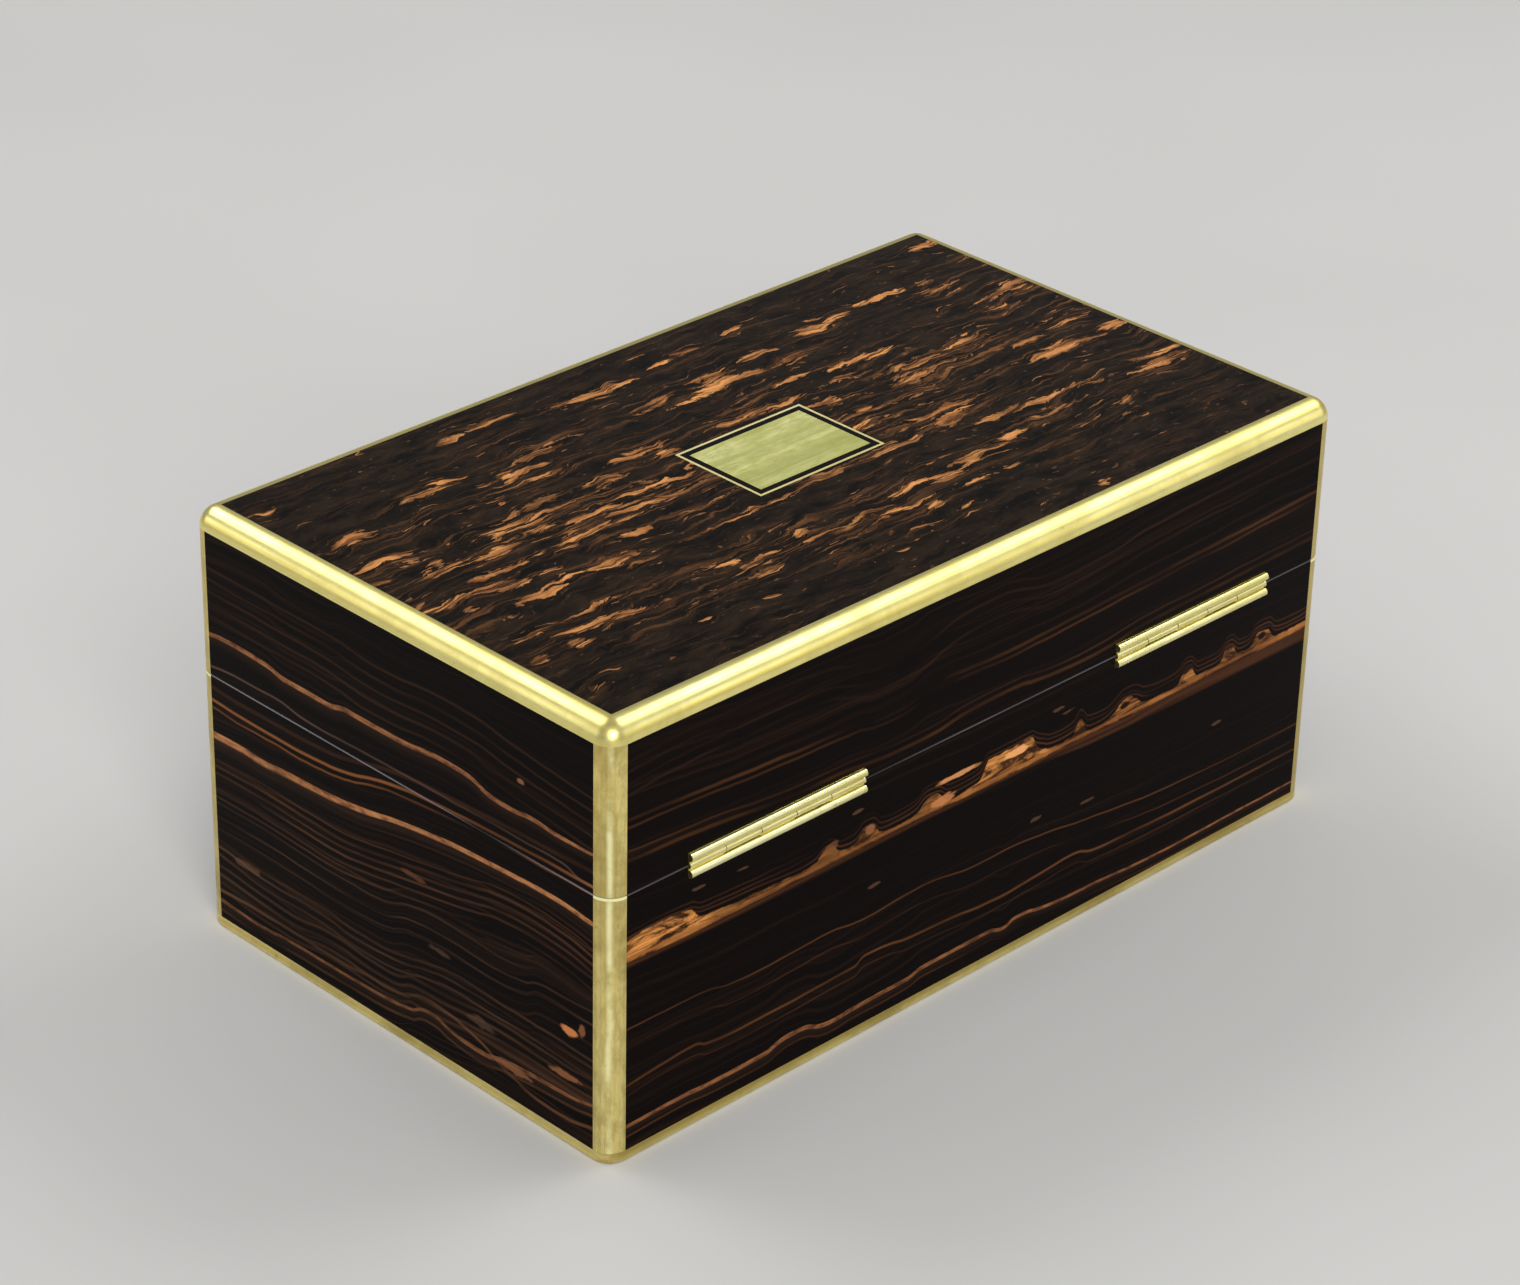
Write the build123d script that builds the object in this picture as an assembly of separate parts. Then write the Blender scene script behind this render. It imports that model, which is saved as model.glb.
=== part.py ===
from build123d import *
import math
import os

os.makedirs("parts", exist_ok=True)

# Travelling jewelry box. Millimetres, +Z up. The origin is the centre of the underside.
# The front, with the lock, faces -Y. The back, with the hinges, faces +Y.

width = 305.0               # overall, along X
depth = 180.0               # overall, along Y, without hinges and key
height = 142.0              # overall, closed
seam = 88.0                 # height of the middle of the lid's joint
seam_gap = 0.4              # open joint between base and lid

brass_w = 6.5               # visible width of the edging and straps on each face
brass_r = 6.5               # rounding of the edging and straps
brass_t = 3.2               # depth of the rebate that the brass sits in
veneer = 1.0                # thickness of the face veneers
board = 9.0                 # thickness of the carcass boards
banding = 1.0               # thickness of the banding on the sawn rims

baize_t = 1.0               # baize under the base
foot_z = 0.3                # lower edge of the bottom strips
foot_top = 3.5              # upper edge of the bottom strips
foot_t = 3.0                # depth of the bottom strips
floor_z = 9.5               # upper face of the bottom board

lid_board_z = 132.0         # underside of the lid's top board
plate_x = 46.0              # initial plate
plate_y = 30.4
plate_t = 0.8
line_x = 52.1               # brass line round the plate, outer size
line_y = 36.7
line_w = 0.9

hinge_len = 69.0            # length of each hinge
hinge_x = 88.5              # centre of each hinge from the middle of the back
pin_r = 0.6
pin_play = 0.05             # running clearance between pin and lid knuckles
knuckle_r = 1.2             # middle reed
reed_r = 1.25               # outer reeds
reed_out = 0.64             # outer reeds stand this much further out than the pin
reed_up = 2.674             # outer reeds above and below the pin
leaf_t = 1.4                # leaf plate thickness
leaf_in = 8.5               # leaf plate width, inwards from the back face
nose_out = 0.25             # leaf nose stands this much out of the back face
nose_h = 3.9                # leaf nose height from the middle of the joint
knuckle_gap = 0.15          # side gap at each knuckle end
knuckles = 5

screw_r = 1.1               # small wood screws
screw_head_r = 2.3
screw_head_t = 1.2
screw_len = 7.0

lock_half = 27.0            # half length of the lock case along X
lock_low = 58.0             # underside of the lock case
lock_out = 86.5             # outer face of the lock case from the middle, towards the front
case_wall = 1.0
key_z = 66.0                # height of the key's axis
drill_r = 0.9               # pin in the lock that the key fits over
throw = 3.0                 # travel of the bolt
hook_low = 76.2             # lower end of the hooks
hook_y0 = 82.5              # hook faces, distance from the middle towards the front
hook_y1 = 84.9
hook_x = [-12.0, 15.0]      # left face of each hook's shank
hook_shank = 2.5
hook_nose = 3.0
hook_nose_h = 2.5
key_swing = 60.0            # turn of the key that throws the bolt

lining_thick = 4.0          # thick lower part of the well lining, the tray's ledge
lining_thin = 0.8           # thin lining above the ledge and in the lid
ledge_z = 50.0              # height of the ledge
pad_t = 3.0                 # floor pads

tray_x = 281.8              # lift-out tray, outer size
tray_y = 157.2
tray_top = 85.5
tray_wall = 5.0
tray_floor_t = 3.0
tray_div_t = 3.0
tray_div_top = 80.0
tray_div_y = 22.0           # front face of the long divider
tray_div_x = 48.0           # middle of the cross dividers from the middle
roll_count = 8
roll_top = 76.0
roll_r = 5.4

pad_low = 124.5             # lowest point of the lid's padded lining
pad_edge = 127.5            # its edge, where the crown begins
pad_channels = 9

hx = width / 2
hy = depth / 2
in_x = hx - veneer - board
in_y = hy - veneer - board
base_top = seam - seam_gap / 2
lid_low = seam + seam_gap / 2


def block(x0, x1, y0, y1, z0, z1):
    size = Box(x1 - x0, y1 - y0, z1 - z0)
    return Pos((x0 + x1) / 2, (y0 + y1) / 2, (z0 + z1) / 2) * size


def rod_x(r, x0, x1, y, z):
    return Pos((x0 + x1) / 2, y, z) * Rot(0, 90, 0) * Cylinder(r, x1 - x0)


def rod_y(r, y0, y1, x, z):
    return Pos(x, (y0 + y1) / 2, z) * Rot(90, 0, 0) * Cylinder(r, y1 - y0)


def rod_z(r, z0, z1, x, y):
    return Pos(x, y, (z0 + z1) / 2) * Cylinder(r, z1 - z0)


def prism(points, z0, z1):
    outline = make_face(Polyline(*points, close=True))
    return extrude(Pos(0, 0, z0) * outline, z1 - z0)


def one(shape):
    # a single closed solid from a boolean result
    solids = shape.solids()
    return max(solids, key=lambda s: s.volume)


def group(shapes, name):
    solids = []
    for shape in shapes:
        solids += list(shape.solids())
    joined = Compound(children=[Solid(s.wrapped) for s in solids])
    joined.label = name
    export_step(joined, "parts/" + name + ".step")


def save(shape, name):
    solid = Solid(one(shape).wrapped)
    solid.label = name
    export_step(solid, "parts/" + name + ".step")


def outer_form(rounded_top):
    form = block(-hx, hx, -hy, hy, foot_z, height)
    form = fillet(form.edges().filter_by(Axis.Z), brass_r)
    if rounded_top:
        form = fillet(form.faces().sort_by(Axis.Z)[-1].edges(), brass_r - 0.001)
    return form


def carcass_envelope():
    # the block of boards inside veneers and brass
    inner = block(-hx + brass_t, hx - brass_t, -hy + brass_t, hy - brass_t, foot_top, height - brass_t)
    side_x = block(-hx + veneer, hx - veneer, -hy + brass_w, hy - brass_w, foot_top, height - brass_w)
    side_y = block(-hx + brass_w, hx - brass_w, -hy + veneer, hy - veneer, foot_top, height - brass_w)
    top = block(-hx + brass_w, hx - brass_w, -hy + brass_w, hy - brass_w, foot_top, height - veneer)
    return inner + side_x + side_y + top


def side_wedge(side, z0, z1):
    # the quarter of the plan that belongs to one side, cut along the mitres
    a = hx + 5
    b = hy + 5
    k = a - b
    plans = {
        "front": [(-a, -b), (a, -b), (k, 0), (-k, 0)],
        "back": [(a, b), (-a, b), (-k, 0), (k, 0)],
        "left": [(-a, b), (-a, -b), (-k, 0)],
        "right": [(a, -b), (a, b), (k, 0)],
    }
    return prism(plans[side], z0, z1)


def corner_zone(sx, sy, z0, z1):
    x0 = sx * (hx - brass_w)
    x1 = sx * (hx + 1)
    y0 = sy * (hy - brass_w)
    y1 = sy * (hy + 1)
    return block(min(x0, x1), max(x0, x1), min(y0, y1), max(y0, y1), z0, z1)


def corner_straps(form, z0, z1):
    core = block(-hx + brass_t, hx - brass_t, -hy + brass_t, hy - brass_t, 0, height)
    straps = []
    for sx in (-1, 1):
        for sy in (-1, 1):
            strap = (form & corner_zone(sx, sy, z0, z1)) - core
            straps.append(one(strap))
    return straps


def top_edging_ring(form):
    slab = block(-hx - 1, hx + 1, -hy - 1, hy + 1, height - brass_w, height + 1)
    window = block(-hx + brass_w, hx - brass_w, -hy + brass_w, hy - brass_w, 0, height + 2)
    core = block(-hx + brass_t, hx - brass_t, -hy + brass_t, hy - brass_t, 0, height - brass_t)
    return (form & slab) - window - core


def foot_strip_ring(form):
    slab = block(-hx - 1, hx + 1, -hy - 1, hy + 1, foot_z, foot_top)
    window = block(-hx + foot_t, hx - foot_t, -hy + foot_t, hy - foot_t, -1, foot_top + 1)
    return (form & slab) - window


def rim_ring(z0, z1):
    # banding between the veneers' inner faces and the wall's inner face, clear of the straps
    outer = block(-hx + veneer, hx - veneer, -hy + veneer, hy - veneer, z0, z1)
    window = block(-in_x, in_x, -in_y, in_y, z0 - 1, z1 + 1)
    ring = outer - window
    for sx in (-1, 1):
        for sy in (-1, 1):
            zone = corner_zone(sx, sy, z0 - 1, z1 + 1)
            core = block(-hx + brass_t, hx - brass_t, -hy + brass_t, hy - brass_t, z0 - 2, z1 + 2)
            ring = ring - (zone - core)
    return ring


def hinge_spans():
    return [(-hinge_x - hinge_len / 2, -hinge_x + hinge_len / 2),
            (hinge_x - hinge_len / 2, hinge_x + hinge_len / 2)]


def knuckle_spans(x0, mine):
    # spans of the even (base) or odd (lid) knuckles of one hinge
    step = hinge_len / knuckles
    spans = []
    for i in range(knuckles):
        is_base = i % 2 == 0
        if is_base == (mine == "base"):
            lo = x0 + i * step
            hi = lo + step
            lo = lo + (knuckle_gap if i > 0 else 0)
            hi = hi - (knuckle_gap if i < knuckles - 1 else 0)
            spans.append((lo, hi))
    return spans


def screw_places(x0):
    mid = x0 + hinge_len / 2
    return [mid - 25.0, mid, mid + 25.0]


screw_y = hy - 4.9


def wood_screw(x, y, z, up):
    # a countersunk slotted screw whose head is flush with z; up is the way the head faces
    head = Cone(screw_r, screw_head_r, screw_head_t)
    body = Pos(0, 0, -screw_head_t / 2) * head
    body = body + Pos(0, 0, -screw_head_t - (screw_len - screw_head_t) / 2) * Cylinder(
        screw_r, screw_len - screw_head_t)
    slot = Box(2 * screw_head_r + 1, 0.5, 0.6)
    body = body - Pos(0, 0, -0.1) * slot
    if up < 0:
        body = Rot(180, 0, 0) * body
    return Pos(x, y, z) * body


def screw_hole(x, y, z, up):
    head = Pos(0, 0, -screw_head_t / 2) * Cone(screw_r, screw_head_r, screw_head_t)
    shank = Pos(0, 0, -screw_head_t - (screw_len - screw_head_t) / 2) * Cylinder(
        screw_r, screw_len - screw_head_t)
    tool = head + shank
    if up < 0:
        tool = Rot(180, 0, 0) * tool
    return Pos(x, y, z) * tool


def hinge_leaf(x0, mine):
    # plate, nose and reed of one leaf, with its own knuckles round the pin
    x1 = x0 + hinge_len
    s = -1 if mine == "base" else 1
    face = seam + s * seam_gap / 2
    far = seam + s * (seam_gap / 2 + leaf_t)
    nose_z = seam + s * nose_h
    plate = block(x0, x1, hy - leaf_in, hy - veneer + 0.2, min(face, far), max(face, far))
    nose = block(x0, x1, hy - veneer, hy + nose_out, min(face, nose_z), max(face, nose_z))
    reed = rod_x(reed_r, x0, x1, hy + reed_out, seam + s * reed_up)
    leaf = plate + nose + reed
    other = "lid" if mine == "base" else "base"
    for lo, hi in knuckle_spans(x0, other):
        leaf = leaf - rod_x(knuckle_r + 0.3, lo - 2 * knuckle_gap, hi + 2 * knuckle_gap, hy, seam)
    for lo, hi in knuckle_spans(x0, mine):
        leaf = leaf + rod_x(knuckle_r, lo, hi, hy, seam)
    bore = pin_r if mine == "base" else pin_r + pin_play
    leaf = leaf - rod_x(bore, x0 - 1, x1 + 1, hy, seam)
    for x in screw_places(x0):
        leaf = leaf - screw_hole(x, screw_y, face, -s)
    return one(leaf)


def leaf_pocket(x0, mine):
    # what the leaf displaces in wall, banding and back veneer
    x1 = x0 + hinge_len
    s = -1 if mine == "base" else 1
    face = seam + s * seam_gap / 2
    far = seam + s * (seam_gap / 2 + leaf_t)
    nose_z = seam + s * nose_h
    plate = block(x0, x1, hy - leaf_in, hy + 1, min(seam, far), max(seam, far))
    nose = block(x0, x1, hy - veneer, hy + 1, min(seam, nose_z), max(seam, nose_z))
    tool = plate + nose
    for x in screw_places(x0):
        tool = tool + screw_hole(x, screw_y, face, -s)
    return tool


def selvedge_box(grow=0.0):
    return block(-lock_half - 6, lock_half + 6, -hy + 3.3, -in_y - 0.6,
                 base_top - leaf_t - grow, base_top + grow)


def striker_box(grow=0.0):
    return block(-lock_half - 6, lock_half + 6, -hy + 3.3, -in_y - 0.6,
                 lid_low - grow, lid_low + leaf_t + grow)


lock_screw_x = [-lock_half - 2.8, lock_half + 2.8]
lock_screw_y = -hy + 6.35
lock_y0 = -lock_out
lock_y1 = -in_y


def hook_slots():
    tool = None
    for a in hook_x:
        slot = block(a - hook_nose - 0.5, a + hook_shank + 0.5, -hook_y1 - 0.7, -hook_y0 + 0.5,
                     base_top - leaf_t - 2, base_top + 1)
        tool = slot if tool is None else tool + slot
    return tool


def keyhole(y0, y1):
    ring = rod_y(2.6, y0, y1, 0, key_z)
    slit = block(-1.2, 1.2, y0, y1, key_z - 8.0, key_z)
    return ring + slit


def lock_case():
    # a shallow box let into the inside of the front wall
    z1 = base_top - leaf_t
    outer = block(-lock_half, lock_half, lock_y0, lock_y1, lock_low, z1)
    cavity = block(-lock_half + case_wall, lock_half - case_wall, lock_y0 + case_wall,
                   lock_y1 - case_wall, lock_low + case_wall, z1 + 1)
    case = outer - cavity
    case = case - keyhole(lock_y0 - 1, lock_y0 + case_wall + 0.5)
    # two guide pegs under the bolt
    for x in (-16.0, 12.0):
        peg = block(x - 3, x + 3, -83.6, lock_y1 - case_wall + 0.1, 67.0, 69.3)
        case = case + peg
    # the drill pin that the hollow key fits over is riveted in the back of the case
    case = case + rod_y(drill_r, lock_y0 + 1.4, lock_y1 - case_wall + 0.2, 0, key_z)
    return one(case)


def lock_bolt():
    # a flat bar with a notch for the key's bit and two fingers that reach over the hooks
    y0 = -84.6
    y1 = -82.8
    left = hook_x[0] - hook_nose - 0.4 - hook_nose - 3.0
    bar = block(left, hook_x[1] - 1.0, y0, y1, 69.6, 75.0)
    notch = block(-4.6, 1.6, y0 - 1, y1 + 1, 69.0, 73.8)
    bolt = bar - notch
    for a in hook_x:
        tip = a - hook_nose - 0.4
        riser = block(tip - 6.0, tip - 3.0, y0, y1, 74.5, 81.8)
        finger = block(tip - 3.5, tip, y0, y1, 79.1, 81.8)
        bolt = bolt + riser + finger
    return one(bolt)


def key():
    # hollow shank over the drill pin, a bit, a collar and a ring bow; bit up, then turned
    tip = lock_y1 - case_wall - 0.3
    bow_y = -121.0
    shank = rod_y(2.2, bow_y + 6.0, tip, 0, 0)
    bit = block(-0.75, 0.75, -85.2, -81.7, 1.0, 7.0)
    ward = block(-1.0, 1.0, -83.9, -83.3, 5.2, 7.5)
    collar = rod_y(3.1, bow_y + 9.5, bow_y + 11.5, 0, 0)
    bow = Pos(0, bow_y, 0) * Rot(0, 90, 0) * Torus(7.4, 1.6)
    body = shank + bit - ward + collar + bow
    body = body - rod_y(drill_r + 0.05, lock_y0 + 1.0, tip + 1, 0, 0)
    return one(Pos(0, 0, key_z) * Rot(0, -key_swing / 2, 0) * body)


def striker():
    plate = striker_box()
    for a in hook_x:
        shank = block(a, a + hook_shank, -hook_y1, -hook_y0, hook_low, lid_low + 0.5)
        nose = block(a - hook_nose, a + 0.2, -hook_y1, -hook_y0, hook_low, hook_low + hook_nose_h)
        plate = plate + shank + nose
    for x in lock_screw_x:
        plate = plate - screw_hole(x, lock_screw_y, lid_low, -1)
    return one(plate)


def selvedge():
    plate = selvedge_box() - hook_slots()
    for x in lock_screw_x:
        plate = plate - screw_hole(x, lock_screw_y, base_top, 1)
    return one(plate)


def escutcheon_outline(grow):
    upper = rod_y(5.0 + grow, -hy - 0.3, -hy + veneer, 0, key_z)
    lower = rod_y(4.2 + grow, -hy - 0.3, -hy + veneer, 0, key_z - 8.6)
    web = prism([(-5.0, 0), (5.0, 0), (4.2, -8.6), (-4.2, -8.6)], 0, veneer + 0.3)
    web = Pos(0, -hy + veneer, key_z) * Rot(90, 0, 0) * web
    return upper + lower + web


def build_base(envelope, straight_form):
    z0 = foot_top
    z1 = base_top - banding
    cuts_board = []
    for x0, _ in hinge_spans():
        cuts_board.append(leaf_pocket(x0, "base"))
    lock_pocket = block(-lock_half, lock_half, lock_y0, lock_y1 + 1, lock_low, base_top)
    front = block(-hx, hx, -hy, -in_y, z0, z1) & envelope
    front = front - lock_pocket - selvedge_box() - keyhole(-hy - 1, lock_y0 + 1)
    for x in lock_screw_x:
        front = front - screw_hole(x, lock_screw_y, base_top, 1)
    back = block(-hx, hx, in_y, hy, z0, z1) & envelope
    for tool in cuts_board:
        back = back - tool
    save(front, "base_board_front")
    save(back, "base_board_back")
    save(block(-hx, -in_x, -in_y, in_y, z0, z1) & envelope, "base_board_left")
    save(block(in_x, hx, -in_y, in_y, z0, z1) & envelope, "base_board_right")

    low = block(-hx + foot_t, hx - foot_t, -hy + foot_t, hy - foot_t, baize_t, foot_top)
    high = block(-in_x, in_x, -in_y, in_y, foot_top, floor_z)
    save(low + high, "base_bottom_board")
    baize = block(-hx + foot_t, hx - foot_t, -hy + foot_t, hy - foot_t, 0, baize_t)
    save(baize, "underside_baize")

    xe = hx - brass_w
    ye = hy - brass_w
    veneer_front = block(-xe, xe, -hy, -hy + veneer, z0, base_top)
    veneer_front = veneer_front - escutcheon_outline(0.0)
    veneer_back = block(-xe, xe, hy - veneer, hy, z0, base_top)
    for tool in cuts_board:
        veneer_back = veneer_back - tool
    save(veneer_front, "base_veneer_front")
    save(veneer_back, "base_veneer_back")
    save(block(-hx, -hx + veneer, -ye, ye, z0, base_top), "base_veneer_left")
    save(block(hx - veneer, hx, -ye, ye, z0, base_top), "base_veneer_right")

    ring = rim_ring(base_top - banding, base_top) - selvedge_box() - hook_slots()
    ring = ring - block(-lock_half, lock_half, lock_y0, lock_y1 + 1, lock_low, base_top - leaf_t)
    for tool in cuts_board:
        ring = ring - tool
    pieces = []
    for side in ("front", "back", "left", "right"):
        pieces += list((ring & side_wedge(side, 0, height)).solids())
    group(pieces, "base_rim_banding")

    group(corner_straps(straight_form, foot_top, base_top), "base_corner_straps")
    foot = foot_strip_ring(straight_form)
    for name, sides in (("long", ("front", "back")), ("short", ("left", "right"))):
        group([one(foot & side_wedge(side, 0, height)) for side in sides], "foot_strips_" + name)


def build_lid(envelope, form):
    z0 = lid_low + banding
    z1 = lid_board_z
    pockets = []
    for x0, _ in hinge_spans():
        pockets.append(leaf_pocket(x0, "lid"))
    front = block(-hx, hx, -hy, -in_y, z0, z1) & envelope
    front = front - striker_box()
    for x in lock_screw_x:
        front = front - screw_hole(x, lock_screw_y, lid_low, -1)
    back = block(-hx, hx, in_y, hy, z0, z1) & envelope
    for tool in pockets:
        back = back - tool
    save(front, "lid_rail_front")
    save(back, "lid_rail_back")
    save(block(-hx, -in_x, -in_y, in_y, z0, z1) & envelope, "lid_rail_left")
    save(block(in_x, hx, -in_y, in_y, z0, z1) & envelope, "lid_rail_right")
    save(block(-hx, hx, -hy, hy, z1, height) & envelope, "lid_top_board")

    xe = hx - brass_w
    ye = hy - brass_w
    zt = height - brass_w
    veneer_back = block(-xe, xe, hy - veneer, hy, lid_low, zt)
    for tool in pockets:
        veneer_back = veneer_back - tool
    save(block(-xe, xe, -hy, -hy + veneer, lid_low, zt), "lid_veneer_front")
    save(veneer_back, "lid_veneer_back")
    save(block(-hx, -hx + veneer, -ye, ye, lid_low, zt), "lid_veneer_left")
    save(block(hx - veneer, hx, -ye, ye, lid_low, zt), "lid_veneer_right")

    plate = block(-plate_x / 2, plate_x / 2, -plate_y / 2, plate_y / 2, height - plate_t, height)
    line = block(-line_x / 2, line_x / 2, -line_y / 2, line_y / 2, height - plate_t, height)
    line_in = block(-line_x / 2 + line_w, line_x / 2 - line_w, -line_y / 2 + line_w,
                    line_y / 2 - line_w, height - 2, height + 1)
    line = line - line_in
    top = block(-xe, xe, -ye, ye, height - veneer, height) - plate - line
    save(top, "lid_veneer_top")
    save(plate, "initial_plate")
    save(line, "plate_line")

    ring = rim_ring(lid_low, lid_low + banding) - striker_box()
    for tool in pockets:
        ring = ring - tool
    pieces = []
    for side in ("front", "back", "left", "right"):
        pieces += list((ring & side_wedge(side, 0, height)).solids())
    group(pieces, "lid_rim_banding")

    group(corner_straps(form, lid_low, height - brass_w), "lid_corner_straps")
    edging = top_edging_ring(form)
    for side in ("front", "left", "right"):
        save(edging & side_wedge(side, 0, height + 2), "lid_edging_" + side)
    back_edging = edging & side_wedge("back", 0, height + 2)
    joint_x = -103.0
    save(back_edging & block(joint_x, hx + 2, 0, hy + 2, 0, height + 2), "lid_edging_back")
    save(back_edging & block(-hx - 2, joint_x, 0, hy + 2, 0, height + 2), "lid_edging_back_end")


def build_hinges():
    lower = []
    upper = []
    pins = []
    base_screws = []
    lid_screws = []
    for x0, x1 in hinge_spans():
        lower.append(hinge_leaf(x0, "base"))
        upper.append(hinge_leaf(x0, "lid"))
        pins.append(rod_x(pin_r, x0 + 0.1, x1 - 0.1, hy, seam))
        for x in screw_places(x0):
            base_screws.append(wood_screw(x, screw_y, base_top, 1))
            lid_screws.append(wood_screw(x, screw_y, lid_low, -1))
    group(lower, "hinge_leaves_base")
    group(upper, "hinge_leaves_lid")
    group(pins, "hinge_pins")
    group(base_screws, "hinge_screws_base")
    group(lid_screws, "hinge_screws_lid")


def build_lock():
    save(lock_case(), "lock_case")
    save(selvedge(), "lock_selvedge")
    save(lock_bolt(), "lock_bolt")
    save(key(), "key")
    save(striker(), "lid_hook_plate")
    plate = escutcheon_outline(0.0) - keyhole(-hy - 1, -hy + veneer + 1)
    save(plate, "escutcheon")
    group([wood_screw(x, lock_screw_y, base_top, 1) for x in lock_screw_x], "lock_screws")
    group([wood_screw(x, lock_screw_y, lid_low, -1) for x in lock_screw_x], "hook_plate_screws")


def soft_pad(x0, x1, y0, y1, z0, z1, r=1.2):
    pad = block(x0, x1, y0, y1, z0, z1)
    return fillet(pad.faces().sort_by(Axis.Z)[-1].edges(), r)


def build_well():
    # lining boards: thick below the ledge, thin above it
    top = base_top - 0.6
    longs = []
    for s in (-1, 1):
        ya = s * in_y
        yb = s * (in_y - lining_thick)
        yc = s * (in_y - lining_thin)
        low = block(-in_x, in_x, min(ya, yb), max(ya, yb), floor_z, ledge_z)
        high = block(-in_x, in_x, min(ya, yc), max(ya, yc), floor_z, top)
        longs.append(one(low + high))
    group(longs, "well_lining_long")
    shorts = []
    yl = in_y - lining_thick
    yt = in_y - lining_thin
    for s in (-1, 1):
        xa = s * in_x
        xb = s * (in_x - lining_thick)
        xc = s * (in_x - lining_thin)
        low = block(min(xa, xb), max(xa, xb), -yl, yl, floor_z, ledge_z)
        high = block(min(xa, xc), max(xa, xc), -yt, yt, ledge_z, top)
        shorts.append(one(low + high))
    group(shorts, "well_lining_short")
    xw = in_x - lining_thick
    half = 2.0
    save(block(-half, half, -yl, yl, floor_z, ledge_z - 8.0), "well_divider")
    pads = [soft_pad(-xw, -half, -yl, yl, floor_z, floor_z + pad_t),
            soft_pad(half, xw, -yl, yl, floor_z, floor_z + pad_t)]
    group(pads, "well_floor_pads")


def build_tray():
    tx = tray_x / 2
    ty = tray_y / 2
    ix = tx - tray_wall
    iy = ty - tray_wall
    z0 = ledge_z
    zf = ledge_z + tray_floor_t
    longs = []
    shorts = []
    for s in (-1, 1):
        ya = s * ty
        yb = s * iy
        xa = s * tx
        xb = s * ix
        longs.append(block(-tx, tx, min(ya, yb), max(ya, yb), z0, tray_top))
        shorts.append(block(min(xa, xb), max(xa, xb), -iy, iy, z0, tray_top))
    group(longs, "tray_sides_long")
    group(shorts, "tray_sides_short")
    save(block(-ix, ix, -iy, iy, z0, zf), "tray_floor")
    y_div = tray_div_y
    save(block(-ix, ix, y_div, y_div + tray_div_t, zf, tray_div_top), "tray_divider_long")
    crosses = []
    for s in (-1, 1):
        x = s * tray_div_x
        crosses.append(block(x - tray_div_t / 2, x + tray_div_t / 2, -iy, y_div, zf, tray_div_top))
    group(crosses, "tray_dividers_cross")
    xc = tray_div_x - tray_div_t / 2
    xd = tray_div_x + tray_div_t / 2
    pads = [soft_pad(-ix, ix, y_div + tray_div_t, iy, zf, zf + pad_t),
            soft_pad(-xc, xc, -iy, y_div, zf, zf + pad_t),
            soft_pad(xd, ix, -iy, y_div, zf, zf + pad_t)]
    group(pads, "tray_floor_pads")
    pitch = (y_div + iy) / roll_count
    rolls = []
    for i in range(roll_count):
        y = -iy + (i + 0.5) * pitch
        stem = block(-ix + 1.2, -xd, y - roll_r, y + roll_r, zf, roll_top - roll_r)
        crown = rod_x(roll_r, -ix + 1.2, -xd, y, roll_top - roll_r)
        rolls.append(one(stem + crown))
    group(rolls, "ring_rolls")
    tabs = []
    for s in (-1, 1):
        xa = s * ix
        xb = s * (ix - 0.8)
        tab = block(min(xa, xb), max(xa, xb), -7, 7, 60.0, tray_top + 2.0)
        tab = fillet(tab.faces().sort_by(Axis.Z)[-1].edges().filter_by(Axis.Y), 0.35)
        tabs.append(tab)
    group(tabs, "tray_lift_tabs")


def build_lid_lining():
    zt = lid_board_z
    z0 = lid_low + banding + 0.4
    longs = []
    for s in (-1, 1):
        ya = s * in_y
        yb = s * (in_y - lining_thin)
        longs.append(block(-in_x, in_x, min(ya, yb), max(ya, yb), z0, zt))
    shorts = []
    yt = in_y - lining_thin
    for s in (-1, 1):
        xa = s * in_x
        xb = s * (in_x - lining_thin)
        shorts.append(block(min(xa, xb), max(xa, xb), -yt, yt, z0, zt))
    group(longs + shorts, "lid_wall_lining")
    # padded panel: a low crown with sewn channels running front to back
    px = in_x - lining_thin - 0.2
    py = in_y - lining_thin - 0.2
    panel = block(-px, px, -py, py, pad_edge, zt)
    pitch = 2 * px / pad_channels
    bulge = pad_edge - pad_low
    r = (pitch * pitch / 4 + bulge * bulge) / (2 * bulge)
    for i in range(pad_channels):
        x = -px + (i + 0.5) * pitch
        roll = rod_y(r, -py, py, x, pad_low + r)
        keep = block(x - pitch / 2, x + pitch / 2, -py, py, pad_low - 1, pad_edge + 1)
        panel = panel + (roll & keep)
    panel = one(panel)
    # the ends of the channels are drawn in to the panel's edge
    drop = 9.0
    for s in (-1, 1):
        tool = prism([(s * (py + 1), pad_low - 1), (s * (py - drop), pad_low - 1),
                      (s * (py - drop * 0.4), pad_low + 0.8), (s * (py + 1), pad_edge + 0.2)],
                     -px - 5, px + 5)
        tool = Plane((0, 0, 0), x_dir=(0, 1, 0), z_dir=(1, 0, 0)).location * tool
        panel = panel - tool
    save(panel, "lid_pad")


envelope = carcass_envelope()
build_base(envelope, outer_form(False))
build_lid(envelope, outer_form(True))
build_hinges()
build_lock()
build_well()
build_tray()
build_lid_lining()
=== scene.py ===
import math

import bmesh
import bpy
from mathutils import Matrix, Vector, noise


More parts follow.
